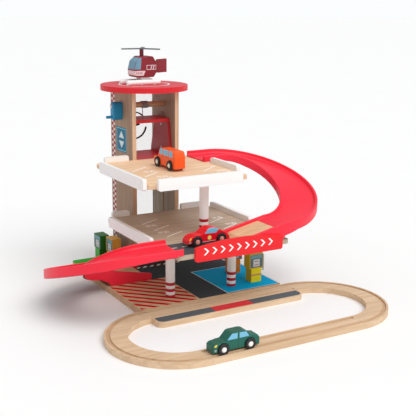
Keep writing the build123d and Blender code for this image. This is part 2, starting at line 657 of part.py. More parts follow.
ramp("lower_ramp", Plane((LOWER_CHUTE_X, CHUTE_Y + CHUTE_R, BASE_TOP), x_dir=(1, 0, 0), z_dir=(0, -1, 0)))
ramp("upper_ramp", Plane((UPPER_CHUTE_X, CHUTE_Y - CHUTE_R, MID_TOP), x_dir=(-1, 0, 0), z_dir=(0, 1, 0)))


# ---------------------------------------------------------------- fuel pumps
def pump(name, x, y, facing):
    """A block pump: narrow foot, wide head, nozzle on its side; facing turns it about Z."""
    with BuildPart() as body:
        with BuildSketch(Plane((x, y, BASE_TOP)).rotated((0, 0, facing))):
            RectangleRounded(PUMP_FOOT_W, PUMP_DEPTH, 1.2)
        extrude(amount=PUMP_FOOT_H)
        with BuildSketch(Plane((x, y, BASE_TOP + PUMP_FOOT_H)).rotated((0, 0, facing))):
            RectangleRounded(PUMP_HEAD_W, PUMP_DEPTH, 1.2)
        extrude(amount=PUMP_HEAD_H)
        side = Plane((x, y, BASE_TOP + PUMP_FOOT_H + PUMP_HEAD_H / 2)).rotated((0, 0, facing))
        knob = Plane(side.from_local_coords((PUMP_HEAD_W / 2, NOZZLE_BACK, 0)), z_dir=side.x_dir)
        with BuildSketch(knob):
            Circle(NOZZLE_D / 2)
        extrude(amount=NOZZLE_L)
    save(name, body)


YELLOW_X, YELLOW_Y = 109.8, -120.8
pump("yellow_pump", YELLOW_X, YELLOW_Y, 0)
pump("orange_pump", 103.0, -58.0, 0)
pump("green_pump", -90.0, 137.0, -90)
pump("amber_pump", -80.0, 100.0, -90)

HOSE_D, HOSE_COIL_D, HOSE_PITCH, HOSE_TURNS = 1.4, 5.0, 3.4, 9
with BuildPart() as yellow_pump_hose:
    hose_x = YELLOW_X + PUMP_HEAD_W / 2 + HOSE_COIL_D / 2 + SHAFT_GAP
    hose_low = BASE_TOP + PUMP_FOOT_H - 8
    with BuildLine() as curls:
        Helix(HOSE_PITCH, HOSE_PITCH * HOSE_TURNS, (HOSE_COIL_D - HOSE_D) / 2, center=(hose_x, YELLOW_Y - 4, hose_low))
    with BuildSketch(Plane(curls.wire() @ 0, z_dir=curls.wire() % 0)):
        Circle(HOSE_D / 2)
    sweep(path=curls.wire(), is_frenet=True)
save("yellow_pump_hose", yellow_pump_hose)

# ---------------------------------------------------------------- cars
HALF_CAR = CAR_L / 2
CAR_PROFILES = {
    "green_car": [
        (-HALF_CAR, CAR_FLOOR), (-HALF_CAR, 15.5), (-HALF_CAR + 4, 18.5), (-19, 20.5), (-9, 31),
        (-5, CAR_H), (13, CAR_H), (18, 31), (27, 22.5), (HALF_CAR - 3, 20.5), (HALF_CAR, 16.5), (HALF_CAR, CAR_FLOOR),
    ],
    "red_car": [
        (-HALF_CAR, CAR_FLOOR + 1), (-HALF_CAR + 1, 12), (-HALF_CAR + 5, 17), (-HALF_CAR + 14, 20), (-15, 21),
        (-6, 28), (1, 30.5), (9, 30.5), (18, 27.5), (28, 22), (36, 17), (HALF_CAR - 1, 12), (HALF_CAR, CAR_FLOOR + 1),
    ],
    "orange_car": [
        (-HALF_CAR, CAR_FLOOR), (-HALF_CAR, 14.5), (-HALF_CAR + 3, 18), (-25, 19.5), (-19, 33), (-15, 36),
        (HALF_CAR - 6, 36), (HALF_CAR - 2, 33), (HALF_CAR, 26), (HALF_CAR, CAR_FLOOR),
    ],
}
WHEEL_FACE = TRACK_GAUGE / 2 + WHEEL_T / 2
WHEEL_BACK = WHEEL_FACE - WHEEL_T
AXLE_UP = WHEEL_D / 2


def car(name, x, y, road_z, heading):
    """A toy car driving along its own -X; heading turns it about Z."""
    ground = Plane((x, y, road_z + ROLL_GAP)).rotated((0, 0, heading))
    middle = Plane(ground.origin, x_dir=ground.x_dir, z_dir=ground.y_dir * -1)
    axles = ((-WHEELBASE / 2, AXLE_UP), (WHEELBASE / 2, AXLE_UP))
    with BuildPart() as body:
        with BuildSketch(middle):
            with BuildLine():
                Polyline(*CAR_PROFILES[name], close=True)
            make_face()
        extrude(amount=CAR_W / 2, both=True)
        fillet(body.faces().filter_by(lambda f: abs(f.normal_at().dot(ground.y_dir)) > 0.99).edges(), radius=1.6)
        for side in (-1, 1):
            arch_plane = Plane(middle.origin + middle.z_dir * side * (WHEEL_BACK - RUN_GAP), x_dir=middle.x_dir, z_dir=middle.z_dir * 1)
            with BuildSketch(arch_plane):
                with Locations(*axles):
                    Circle(WHEEL_D / 2 + ARCH_GAP)
            extrude(amount=side * CAR_W, mode=Mode.SUBTRACT)
        with BuildSketch(middle):
            with Locations(*axles):
                Circle(CAR_AXLE_D / 2 + SHAFT_GAP)
        extrude(amount=CAR_W, both=True, mode=Mode.SUBTRACT)
    save(f"{name}_body", body)

    for end, axle_x in (("front", -WHEELBASE / 2), ("rear", WHEELBASE / 2)):
        centre = ground.from_local_coords((axle_x, 0, AXLE_UP))
        across = Plane(centre, x_dir=(0, 0, 1), z_dir=ground.x_dir * -1)
        with BuildPart() as wheels:
            with BuildSketch(across):
                with BuildLine():
                    Polyline(
                        (0, 0), (CAR_AXLE_D / 2, 0), (CAR_AXLE_D / 2, WHEEL_BACK), (WHEEL_D / 2 - 0.8, WHEEL_BACK),
                        (WHEEL_D / 2, WHEEL_BACK + 0.8), (WHEEL_D / 2, WHEEL_FACE - 0.8),
                        (WHEEL_D / 2 - 0.8, WHEEL_FACE), (HUB_D / 2 + 0.8, WHEEL_FACE),
                        (HUB_D / 2 + 0.3, WHEEL_FACE - 0.6), (HUB_D / 2, WHEEL_FACE - 0.6),
                        (HUB_D / 2 - 1, WHEEL_FACE + 0.5), (0, WHEEL_FACE + 0.7), close=True,
                    )
                make_face()
            revolve(axis=Axis(centre, across.y_dir))
            mirror(about=Plane(centre, z_dir=across.y_dir))
        save(f"{name}_{end}_wheels", wheels)


car("green_car", -92.9, TRACK_Y - TRACK_R, TRACK_T - TRACK_GROOVE_DEPTH, 0)
car("red_car", -32.2, -185.0, MID_TOP, 0)
car("orange_car", -30.2, -45.4, UPPER_TOP, -90)

# ---------------------------------------------------------------- helicopter
PAD_TOP = TOWER_TOP + HELIPAD_T
HELI_X, HELI_Y = TOWER_X - 4.0, TOWER_Y
FLOAT_Z = PAD_TOP + ROLL_GAP + FLOAT_D / 2 - 0.6
HELI_FLOOR = PAD_TOP + ROLL_GAP + STAND_H
HELI_TOP = HELI_FLOOR + HELI_H

with BuildPart() as helicopter_body:
    with BuildSketch(Plane.XZ.offset(-HELI_Y)):
        with BuildLine():
            Polyline(
                (HELI_X - HELI_L / 2 + 4, HELI_FLOOR),
                (HELI_X + HELI_L / 2 - 6, HELI_FLOOR),
                (HELI_X + HELI_L / 2, HELI_FLOOR + 9),
                (HELI_X + HELI_L / 2, HELI_TOP - 12),
                (HELI_X + HELI_L / 2 - 8, HELI_TOP),
                (HELI_X - HELI_L / 2 + 15, HELI_TOP),
                (HELI_X - HELI_L / 2 + 4, HELI_TOP - 9),
                (HELI_X - HELI_L / 2, HELI_FLOOR + 15),
                (HELI_X - HELI_L / 2, HELI_FLOOR + 5),
                close=True,
            )
        make_face()
    extrude(amount=HELI_W / 2, both=True)
    fillet(helicopter_body.edges().filter_by(Axis.Y), radius=3.5)
    fillet(helicopter_body.faces().filter_by(Axis.Y).edges(), radius=3.0)
save("helicopter_body", helicopter_body)

TAIL_X = HELI_X + HELI_L / 2
TAIL_Z = HELI_FLOOR + 20.0
TAIL_T = 7.0
with BuildPart() as helicopter_tail:
    with BuildSketch(Plane.XZ.offset(-HELI_Y)):
        with BuildLine():
            Polyline(
                (TAIL_X, TAIL_Z - 4), (TAIL_X + 4, TAIL_Z - 5), (TAIL_X + 9, TAIL_Z - 13),
                (TAIL_X + 28, TAIL_Z - 12), (TAIL_X + 28, TAIL_Z + 14), (TAIL_X + 9, TAIL_Z + 13),
                (TAIL_X + 4, TAIL_Z + 5), (TAIL_X, TAIL_Z + 4), close=True,
            )
        make_face()
    extrude(amount=TAIL_T / 2, both=True)
save("helicopter_tail", helicopter_tail)

with BuildPart() as helicopter_stand:
    with BuildSketch(Plane.XY.offset(PAD_TOP + ROLL_GAP)):
        with Locations((HELI_X + 2, HELI_Y)):
            Rectangle(STAND_W, FLOAT_SPAN - FLOAT_D)
    extrude(amount=STAND_H)
save("helicopter_stand", helicopter_stand)

with BuildPart() as helicopter_floats:
    for side in (-1, 1):
        with BuildSketch(Plane.YZ.offset(HELI_X - 5 - FLOAT_L / 2)):
            with Locations((HELI_Y + side * FLOAT_SPAN / 2, FLOAT_Z)):
                Circle(FLOAT_D / 2)
        extrude(amount=FLOAT_L)
    fillet(helicopter_floats.edges(), radius=FLOAT_D / 2 - 0.4)
    with BuildSketch(Plane.XY.offset(PAD_TOP + ROLL_GAP)):
        with Locations((HELI_X, HELI_Y)):
            Rectangle(2 * FLOAT_L, 2 * FLOAT_SPAN)
    extrude(amount=-FLOAT_D, mode=Mode.SUBTRACT)
save("helicopter_floats", helicopter_floats)

ROTOR_X, ROTOR_Z = HELI_X - 1.0, HELI_TOP + MAST_H
with BuildPart() as helicopter_mast:
    with BuildSketch(Plane.XY.offset(HELI_TOP)):
        with Locations((ROTOR_X, HELI_Y)):
            Circle(MAST_D / 2)
    extrude(amount=MAST_H - RUN_GAP)
save("helicopter_mast", helicopter_mast)

with BuildPart() as helicopter_rotor:
    with BuildSketch(Plane.XY.offset(ROTOR_Z)):
        with Locations((ROTOR_X, HELI_Y)):
            Circle(MAST_D / 2)
            with PolarLocations(ROTOR_R / 2, 3, start_angle=180):
                RectangleRounded(ROTOR_R, BLADE_W, BLADE_W / 2 - 0.2)
    extrude(amount=BLADE_T)
save("helicopter_rotor", helicopter_rotor)
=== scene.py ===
"""Looks of a wooden toy parking garage: three levels, crank lift, helipad, two moulded chutes,
an oval road track, fuel pumps, three cars and a helicopter.

New shapes are functions worked out on numpy grids, in the model's own frame. Sizes, places and
painted areas are in millimetres, and a mesh gets its points in metres."""
import math

import bpy
import numpy as np
from mathutils import Matrix, Vector


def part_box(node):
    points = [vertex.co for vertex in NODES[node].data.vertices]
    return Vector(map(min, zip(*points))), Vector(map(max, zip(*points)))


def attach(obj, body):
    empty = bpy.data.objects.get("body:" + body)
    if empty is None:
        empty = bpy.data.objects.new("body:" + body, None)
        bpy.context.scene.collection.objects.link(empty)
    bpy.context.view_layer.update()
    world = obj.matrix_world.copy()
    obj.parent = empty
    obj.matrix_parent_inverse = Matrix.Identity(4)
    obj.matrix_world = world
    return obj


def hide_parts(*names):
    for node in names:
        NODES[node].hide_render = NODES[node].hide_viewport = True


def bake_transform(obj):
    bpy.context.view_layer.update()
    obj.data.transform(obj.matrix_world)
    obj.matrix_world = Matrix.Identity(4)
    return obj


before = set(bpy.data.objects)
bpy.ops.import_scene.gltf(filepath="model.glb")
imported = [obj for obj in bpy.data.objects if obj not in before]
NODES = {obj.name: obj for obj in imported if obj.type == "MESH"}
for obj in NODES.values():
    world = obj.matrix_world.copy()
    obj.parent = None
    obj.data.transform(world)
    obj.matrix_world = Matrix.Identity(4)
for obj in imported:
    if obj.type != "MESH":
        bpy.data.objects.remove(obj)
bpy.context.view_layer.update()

MM = 0.001
X, Y, Z = range(3)
PAINT_EDGE = 0.25                  # width over which a painted edge fades
FACES_AT, FACES_SOFT = 0.7, 0.1    # part of the normal that counts as facing an axis


def corners(node):
    """Lowest and highest corner of a CAD node, in millimetres."""
    low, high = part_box(node)
    return np.array(low) / MM, np.array(high) / MM


BASE_LOW, BASE_HIGH = corners("base_board")
PAD_LOW, PAD_HIGH = corners("helipad")
TOWER_X, TOWER_Y = (PAD_LOW + PAD_HIGH)[:2] / 2
BASE_TOP, MID_TOP, PAD_TOP = BASE_HIGH[Z], corners("mid_deck")[1][Z], PAD_HIGH[Z]


# ---- shader arithmetic
def tone(red, green, blue):
    """A colour as seen, 0 to 255, as linear light."""
    seen = np.array((red, green, blue)) / 255
    linear = np.where(seen <= 0.04045, seen / 12.92, ((seen + 0.055) / 1.055) ** 2.4)
    return (*(float(part) for part in linear), 1.0)


class Value:
    """A number in a shader: arithmetic on it adds Math nodes."""

    def __init__(self, shader, socket):
        self.shader, self.socket = shader, socket

    def math(self, operation, *others, clamp=False):
        settings = {"operation": operation, "use_clamp": clamp}
        return self.shader.add("ShaderNodeMath", settings, (self, *others))

    def __add__(self, other):
        return self.math("ADD", other)

    def __sub__(self, other):
        return self.math("SUBTRACT", other)

    def __rsub__(self, other):
        return self.shader.add("ShaderNodeMath", {"operation": "SUBTRACT"}, (other, self))

    def __mul__(self, other):
        return self.math("MULTIPLY", other)

    def __truediv__(self, other):
        return self.math("DIVIDE", other)

    __radd__, __rmul__ = __add__, __mul__

    def above(self, edge, soft=PAINT_EDGE):
        """0 below the edge and 1 above it, over a soft band."""
        return self.math("MULTIPLY_ADD", 1 / soft, 0.5 - edge / soft, clamp=True)

    def between(self, low, high, soft=PAINT_EDGE):
        return self.above(low, soft) - self.above(high, soft)

    def repeat(self, pitch, start=0.0):
        """Place within a repeat of this pitch, from 0 to the pitch."""
        return ((self - start) / pitch).math("FRACT") * pitch


class Shader:
    """The nodes of a material, or of the world, with coordinates in millimetres."""

    def __init__(self, name, owner=None):
        self.owner = owner or bpy.data.materials.new(name)
        self.owner.use_nodes = True
        self.tree = self.owner.node_tree
        self.tree.nodes.clear()

    def add(self, kind, settings=None, inputs=(), output=0):
        """Adds a node: its settings first, then the values or links of its sockets."""
        made = self.tree.nodes.new(kind)
        for key, value in (settings or {}).items():
            setattr(made, key, value)
        pairs = inputs.items() if isinstance(inputs, dict) else enumerate(inputs)
        for key, value in pairs:
            if isinstance(value, Value):
                self.tree.links.new(value.socket, made.inputs[key])
            else:
                made.inputs[key].default_value = value
        return Value(self, made.outputs[output]) if made.outputs else made

    def split(self, vector):
        """The three parts of a vector."""
        parts = self.tree.nodes.new("ShaderNodeSeparateXYZ")
        self.tree.links.new(vector.socket, parts.inputs[0])
        return [Value(self, socket) for socket in parts.outputs]

    def place(self, centre=(0, 0, 0), turn=0.0):
        """Object coordinates from a centre, turned about Z: three numbers in millimetres."""
        sockets = {
            "Vector": self.add("ShaderNodeTexCoord", output="Object"),
            "Location": [float(part) * MM for part in centre],
            "Rotation": (0, 0, math.radians(turn)), "Scale": (MM, MM, MM),
        }
        return self.split(self.add("ShaderNodeMapping", {"vector_type": "TEXTURE"}, sockets))

    def facing(self, axis):
        """The part of the surface's normal along an axis."""
        return self.split(self.add("ShaderNodeTexCoord", output="Normal"))[axis]

    def faces(self, axis, way=1):
        """1 where the surface faces along an axis, that way."""
        part = self.facing(axis)
        return (part if way > 0 else 0 - part).above(FACES_AT, FACES_SOFT)

    def faces_either(self, axis, least=FACES_AT):
        """1 where the surface faces along an axis, either way."""
        return self.facing(axis).math("ABSOLUTE").above(least, FACES_SOFT)

    def noise(self, place, stretch, detail=3.0, distortion=0.0):
        """Cloudy noise: stretch gives the features in a millimetre along X, Y and Z."""
        stretched = [part * share for part, share in zip(place, stretch)]
        sockets = {
            "Vector": self.add("ShaderNodeCombineXYZ", None, stretched),
            "Scale": 1.0, "Detail": detail, "Distortion": distortion,
        }
        return self.add("ShaderNodeTexNoise", None, sockets)

    def mix(self, share, below, above):
        """Colour mix; sockets 0, 6 and 7 are the factor and the two colours, output 2 the mix."""
        settings = {"data_type": "RGBA", "blend_type": "MIX"}
        return self.add("ShaderNodeMix", settings, {0: share, 6: below, 7: above}, output=2)

    def coats(self, ground, *layers):
        """Paints each mask's colour over what lies below it."""
        for mask, colour in layers:
            ground = self.mix(mask, ground, colour)
        return ground

    def finish(
        self, colour, roughness, relief, depth=0.05, edge=0.6, shine=0.5, metallic=0.0, alpha=None,
    ):
        """Joins colour, roughness and relief into the surface.

        depth is the relief's depth, and edge the radius that softens the edges."""
        sockets = {"Strength": 1.0, "Distance": depth * MM, "Height": relief}
        if edge:
            sockets["Normal"] = self.add("ShaderNodeBevel", {"samples": 4}, {"Radius": edge * MM})
        normal = self.add("ShaderNodeBump", None, sockets)
        sockets = {
            "Base Color": colour, "Roughness": roughness, "Metallic": metallic,
            "Specular IOR Level": shine, "Normal": normal,
        }
        if alpha is not None:
            sockets["Alpha"] = alpha
        coat = self.add("ShaderNodeBsdfPrincipled", None, sockets)
        self.add("ShaderNodeOutputMaterial", None, (coat,))
        return self.owner


# ---- painted shapes, as masks
def rectangle(u, v, low_u, high_u, low_v, high_v, inset=0.0):
    across = u.between(low_u + inset, high_u - inset)
    return across * v.between(low_v + inset, high_v - inset)


def far_from(u, v, centre_u, centre_v):
    """Distance from a centre."""
    across, up = u - centre_u, v - centre_v
    return (across * across + up * up).math("SQRT")


def disc(u, v, centre_u, centre_v, radius):
    return 1 - far_from(u, v, centre_u, centre_v).above(radius)


def hoop(u, v, centre_u, centre_v, radius, width):
    return far_from(u, v, centre_u, centre_v).between(radius - width / 2, radius + width / 2)


def stroke(u, v, start, end, width):
    """A straight line of paint from one point to another."""
    run = np.subtract(end, start)
    length = float(np.hypot(*run))
    along_u, along_v = (float(part) / length for part in run)
    off_u, off_v = u - start[0], v - start[1]
    along = off_u * along_u + off_v * along_v
    across = off_v * along_u - off_u * along_v
    return along.between(0, length) * across.between(-width / 2, width / 2)


def patch(u, v, *points):
    """A convex area of paint, its points anticlockwise."""
    mask = None
    for start, end in zip(points, points[1:] + points[:1]):
        run_u, run_v = end[0] - start[0], end[1] - start[1]
        length = math.hypot(run_u, run_v)
        off = (v - start[1]) * (run_u / length) - (u - start[0]) * (run_v / length)
        mask = off.above(0) if mask is None else mask * off.above(0)
    return mask


def joined(*masks):
    """Where any of the masks is."""
    whole = masks[0]
    for mask in masks[1:]:
        whole = whole.math("MAXIMUM", mask)
    return whole


# ---- woods and paints
# Woods are (light, dark).
BEECH = tone(230, 200, 166), tone(208, 174, 138)
PLY = tone(232, 200, 164), tone(208, 172, 136)
# The two tower woods below are the ply made darker and greyer as painted shade on the tower panels'
# faces; the panel-edge wood is its lit copy for their front edges.
SHADED_PLY = tone(170, 138, 111), tone(145, 115, 92)
FAR_PLY_PAINTED_SHADE = tone(180, 163, 142), tone(156, 140, 120)
PANEL_EDGE = tone(226, 192, 158), tone(200, 162, 128)
GLUE_LINE, GROOVE_PAINTED_SHADE = tone(150, 112, 78), tone(188, 148, 108)
WHITE = tone(251, 250, 248)
PAINT_SHADE = (0.02, 0.015, 0.015, 1)
GRAIN_ALONG, GRAIN_ACROSS = 0.035, 1.1          # features in a millimetre
FIGURE_ALONG, FIGURE_ACROSS = 0.008, 0.11
PLY_PITCH, GLUE_LOW, GLUE_HIGH, GLUE_EDGE = 1.4, 0.2, 0.55, 0.12
GROOVE_DEPTH = 1.0


def grain(shader, place, along):
    """Fine fibres and broad figure that run along one axis: two numbers from 0 to 1."""
    fine_stretch = [GRAIN_ACROSS] * 3
    broad_stretch = [FIGURE_ACROSS] * 3
    fine_stretch[along], broad_stretch[along] = GRAIN_ALONG, FIGURE_ALONG
    fibres = shader.noise(place, fine_stretch, detail=2.0)
    figure = shader.noise(place, broad_stretch, detail=3.0, distortion=0.8)
    return fibres, figure


def wood_colour(shader, place, along, wood):
    """Wood with its figure and fibres; gives the colour and the fibres' height."""
    light, dark = wood
    fibres, figure = grain(shader, place, along)
    ground = shader.mix(figure.above(0.5, soft=0.36), light, dark)
    streaked = shader.mix(fibres.above(0.52, soft=0.3) * 0.3, ground, dark)
    return streaked, fibres


def ply_edges(shader, colour, height):
    """Thin dark glue lines on the upright edges of a board."""
    edge_mask = 1 - shader.faces_either(Z)
    lines = height.repeat(PLY_PITCH).between(GLUE_LOW, GLUE_HIGH, GLUE_EDGE) * edge_mask
    return shader.mix(lines * 0.55, colour, GLUE_LINE)


def wooden(name, wood, edge):
    """Bare, lightly oiled wood, its grain along X."""
    shader = Shader(name)
    colour, fibres = wood_colour(shader, shader.place(), X, wood)
    return shader.finish(colour, 0.5 + fibres * 0.2, fibres, edge=edge)


def track_material():
    """Bare wood, with painted shade on the floors of the wheel grooves."""
    shader = Shader("track_wood")
    place = shader.place()
    colour, fibres = wood_colour(shader, place, X, BEECH)
    top = corners("near_track_straight")[1][Z]
    # Painted shade: the floors of the grooves are darkened.
    painted_groove_shade = shader.faces(Z) * (1 - place[Z].above(top - GROOVE_DEPTH))
    colour = shader.mix(painted_groove_shade * 0.55, colour, GROOVE_PAINTED_SHADE)
    return shader.finish(colour, 0.5 + fibres * 0.2, fibres, edge=0.9)


def lacquered(shader, place, colour, roughness=0.36, edge=0.7, along=X):
    """Paint over wood: a little uneven, with the grain just felt through it."""
    fibres, figure = grain(shader, place, along)
    shaded = shader.mix(0.5, colour, PAINT_SHADE)
    uneven = shader.mix(figure.above(0.5, soft=0.5) * 0.12, colour, shaded)
    return shader.finish(uneven, roughness + fibres * 0.12, fibres, 0.03, edge, shine=0.35)


def painted(name, colour, roughness=0.36, edge=0.7, along=X):
    shader = Shader(name)
    return lacquered(shader, shader.place(), colour, roughness, edge, along)


def plain_grain(name, colour, roughness, uneven, stretch, depth, edge, metallic=0.0):
    """One colour, rough and uneven by a fine noise, as on steel or moulded plastic."""
    shader = Shader(name)
    speckle = shader.noise(shader.place(), stretch)
    rough = roughness + speckle * uneven
    return shader.finish(colour, rough, speckle, depth, edge, metallic=metallic)


def dress(material, *nodes):
    """Gives CAD nodes their material."""
    for node in nodes:
        mesh = NODES[node].data
        mesh.materials.clear()
        mesh.materials.append(material)


# ---- base board
# Boxes are (left, right, front, back).
ROAD, LAWN, POOL_BLUE = tone(70, 75, 80), tone(60, 168, 50), tone(0, 178, 236)
HATCH_RED, LINE_WHITE, KERB_RED = tone(212, 8, 14), tone(248, 246, 240), tone(120, 25, 30)
HATCH_BOX = (-144.0, -31.0, -160.0, -24.0)
HATCH_PITCH, HATCH_START, HATCH_WIDTH = 24.8, -181.5, 12.0
ROAD_LEFT, LAWN_FROM, BARE_MARGIN = -59.0, 72.0, 2.0
BLUE_BOX, OUTLINE_W = (31.4, 144.0, -156.0, -21.0), 1.4
KERB_BOX, KERB_PITCH = (ROAD_LEFT, 48.0, 49.0, 56.4), 15.0
BAY_MARKS = ((126.0, 134.0, 14.0, 16.4), (126.0, 134.0, 19.5, 21.9))


def base_material():
    """Plywood: red hatching, dark road, blue bay, green lawn and a kerb of slanting blocks."""
    shader = Shader("base_board_paint")
    place = shader.place()
    x, y, z = place
    top = shader.faces(Z)
    bare, fibres = wood_colour(shader, place, X, PLY)
    bare = ply_edges(shader, bare, z)
    _, hatch_right, _, hatch_back = HATCH_BOX
    road_front, road_right = BASE_LOW[Y] + BARE_MARGIN, BASE_HIGH[X] - BARE_MARGIN
    hatch = (x + y).repeat(HATCH_PITCH, HATCH_START).between(0, HATCH_WIDTH)
    hatch = hatch * rectangle(x, y, *HATCH_BOX) * top
    road = joined(
        rectangle(x, y, ROAD_LEFT, road_right, hatch_back, LAWN_FROM),
        rectangle(x, y, hatch_right + BARE_MARGIN, road_right, road_front, LAWN_FROM),
    ) * top
    kerb = rectangle(x, y, *KERB_BOX) * top
    blocks = (x - y).repeat(KERB_PITCH).between(0, KERB_PITCH / 2) * kerb
    bays = joined(*(rectangle(x, y, *box) for box in BAY_MARKS)) * top
    colour = shader.coats(
        bare,
        (y.above(LAWN_FROM) * top, LAWN), (hatch, HATCH_RED), (road, ROAD),
        (rectangle(x, y, *BLUE_BOX, inset=-OUTLINE_W) * top, LINE_WHITE),
        (rectangle(x, y, *BLUE_BOX) * top, POOL_BLUE),
        (kerb, KERB_RED), (blocks, LINE_WHITE), (bays, LINE_WHITE),
    )
    return shader.finish(colour, 0.65 + fibres * 0.15, fibres, depth=0.04, shine=0.06)


# ---- decks
BAY_LINE, BAY_LINE_W = tone(255, 253, 250), 2.4
# The mid deck's wood is the deck ply made darker and greyer as painted shade under the upper deck;
# the upper deck's wood is its lit copy.
MID_WOOD_PAINTED_SHADE = tone(204, 186, 166), tone(182, 162, 140)
UPPER_WOOD = tone(248, 216, 180), tone(228, 188, 148)
MID_ROAD = (-101.0, 12.0, -227.0, -159.5)
DASH_PITCH, DASH_FROM, DASH_L, DASH_W, DASH_BEHIND_MIDDLE = 21.5, 2.0, 11.0, 2.2, 10.0
# Rows of parking lines: left end, starts along Y, and the run of one line.
MID_STARTS, MID_RUN = (-115.6, -65.7, -16.0), (42.0, 22.5)
UPPER_STARTS, UPPER_RUN = (-151.0, -99.0, -48.0), (43.0, 33.0)
MID_BAYS = ((-72, MID_STARTS, MID_RUN), (46, MID_STARTS[:2], MID_RUN))
UPPER_BAYS = ((-106, UPPER_STARTS, UPPER_RUN), (12, UPPER_STARTS[:2], UPPER_RUN))
MID_CARS = ((-72, -38), (-72, -88), (68, -42), (68, -92))
UPPER_CARS = ((-87, -62), (-87, -113), (34, -113))
CAR_MARK, CAR_MARK_LINE = (0.0, 20.0, 0.0, 9.5), 1.5
CAR_MARK_WINDOWS = ((4.5, 6.5, 2.2, 7.3), (13.0, 15.5, 2.2, 7.3))


def bay_lines(u, v, left, starts, run):
    """Slanting parking lines, one for each start."""
    return joined(*(
        stroke(u, v, (left, low), (left + run[0], low + run[1]), BAY_LINE_W) for low in starts
    ))


def small_cars(u, v, places):
    """A small plain plan of a car in outline, with its two windows, at each place."""
    marks = []
    for across, up in places:
        here = u - across, v - up
        hollow = 1 - rectangle(*here, *CAR_MARK, inset=CAR_MARK_LINE)
        marks.append(rectangle(*here, *CAR_MARK) * hollow)
        marks += [rectangle(*here, *window) for window in CAR_MARK_WINDOWS]
    return joined(*marks)


def deck_material(name, wood, bays, cars, road_box=None):
    """Plywood deck with parking lines and small cars on top, and a dashed road if it has one."""
    shader = Shader(name)
    place = shader.place()
    x, y, z = place
    top = shader.faces(Z)
    bare, fibres = wood_colour(shader, place, X, wood)
    bare = ply_edges(shader, bare, z)
    lines = joined(*(bay_lines(x, y, *row) for row in bays), small_cars(x, y, cars)) * top
    layers = [(lines, BAY_LINE)]
    if road_box:
        left, right, front, back = road_box
        low = (front + back) / 2 + DASH_BEHIND_MIDDLE
        dashes = x.repeat(DASH_PITCH, left + DASH_FROM).between(0, DASH_L)
        dashes = dashes * rectangle(x, y, left, right, low, low + DASH_W) * top
        layers += [(rectangle(x, y, *road_box) * top, ROAD), (dashes, LINE_WHITE)]
    colour = shader.coats(bare, *layers)
    return shader.finish(colour, 0.48 + fibres * 0.18, fibres)


# ---- pillars, strip and sign
BAND_RED = tone(190, 22, 38)
BANDS = ((-1.0, 5.0), (11.0, 16.5), (22.5, 28.0))     # heights above the pillar's foot
STRIP_DARK, STRIP_RED = tone(78, 84, 90), tone(214, 26, 40)
STRIP_MARGIN, STRIP_CORNER, STRIP_RED_RUN = 2.4, 11.0, (-34.0, 43.0)
SIGN_RED, SIGN_WHITE = tone(242, 26, 34), tone(255, 253, 250)
ARROW_PITCH, ARROW_REACH, ARROW_RISE, ARROW_W, ARROW_START = 16.0, 6.5, 6.0, 3.6, 14.0
ARROW_LEAD, ARROW_END_ROOM, ARROW_ABOVE_DECK = 1.5, 26.0, 3.6


def pillar_material(name, foot_z):
    """White post with three red bands at its foot."""
    shader = Shader(name)
    place = shader.place()
    height = place[Z] - foot_z
    bands = joined(*(height.between(low, high) for low, high in BANDS))
    return lacquered(shader, place, shader.mix(bands, WHITE, BAND_RED), along=Z)


def strip_material():
    """Wooden strip, its top painted dark with a red middle, inside a bare margin."""
    shader = Shader("parking_strip_paint")
    place = shader.place()
    x, y, _ = place
    low, high = corners("parking_strip")
    bare, fibres = wood_colour(shader, place, X, BEECH)
    left, front = low[:2] + STRIP_MARGIN
    right, back = high[:2] - STRIP_MARGIN
    round_left, round_right = left + STRIP_CORNER, right - STRIP_CORNER
    round_front = front + STRIP_CORNER
    dark = joined(
        rectangle(x, y, left, right, round_front, back),
        rectangle(x, y, round_left, round_right, front, back),
        disc(x, y, round_left, round_front, STRIP_CORNER),
        disc(x, y, round_right, round_front, STRIP_CORNER),
    ) * shader.faces(Z)
    red = dark * x.between(*STRIP_RED_RUN)
    colour = shader.coats(bare, (dark, STRIP_DARK), (red, STRIP_RED))
    return shader.finish(colour, 0.45 + fibres * 0.15, fibres, depth=0.04, edge=0.8)


def sign_material():
    """Red front board with a row of plain white arrowheads."""
    shader = Shader("front_sign_paint")
    place = shader.place()
    x, _, z = place
    low, high = corners("front_sign")
    start = low[X] + ARROW_START
    count = math.floor((high[X] - low[X] - ARROW_END_ROOM) / ARROW_PITCH)
    height = (z - (MID_TOP + ARROW_ABOVE_DECK)).math("ABSOLUTE")
    slant = (ARROW_RISE - height) * (ARROW_REACH / ARROW_RISE)
    front_of = x.repeat(ARROW_PITCH, start) - ARROW_LEAD - slant
    arrows = front_of.between(0, ARROW_W) * (1 - height.above(ARROW_RISE))
    arrows = arrows * x.between(start, start + ARROW_PITCH * count) * shader.faces(Y, -1)
    colour = shader.mix(arrows, SIGN_RED, SIGN_WHITE)
    return lacquered(shader, place, colour, 0.34, 0.9)


# ---- tower
CHECK_WIDE, CHECK_TALL, CHECK_COLUMNS = 7.6, 5.5, 2
CHECK_BACK = 46.0        # from the tower's centre to the back of the chequered strip
CHECK_PALE, CHECK_RED = tone(228, 206, 200), tone(148, 34, 42)
PLATE_BOX = (84.0, 131.0, 237.5, 286.0)       # front, back, low, high
PLATE_BLUE, PLATE_LINE, PLATE_ARROW = tone(0, 108, 140), tone(130, 200, 216), tone(214, 228, 228)
RIM_OUT, RIM_IN = 2.0, 3.4
LIFT_ARROW = ((-12.0, 3.0), (12.0, 3.0), (0.0, 17.0))      # from the plate's middle
DIAL_Z, DIAL_R, DIAL_LINE, DIAL_GAP = 280.0, 27.0, 2.6, (21.0, 33.0, -4.0, 9.0)
HAND_TO, HAND_LINE = (12.0, 3.0), 4.5
CLEAR_PANEL, DIAL_INK, CLEAR_ALPHA = tone(250, 252, 252), tone(52, 14, 18), 0.1
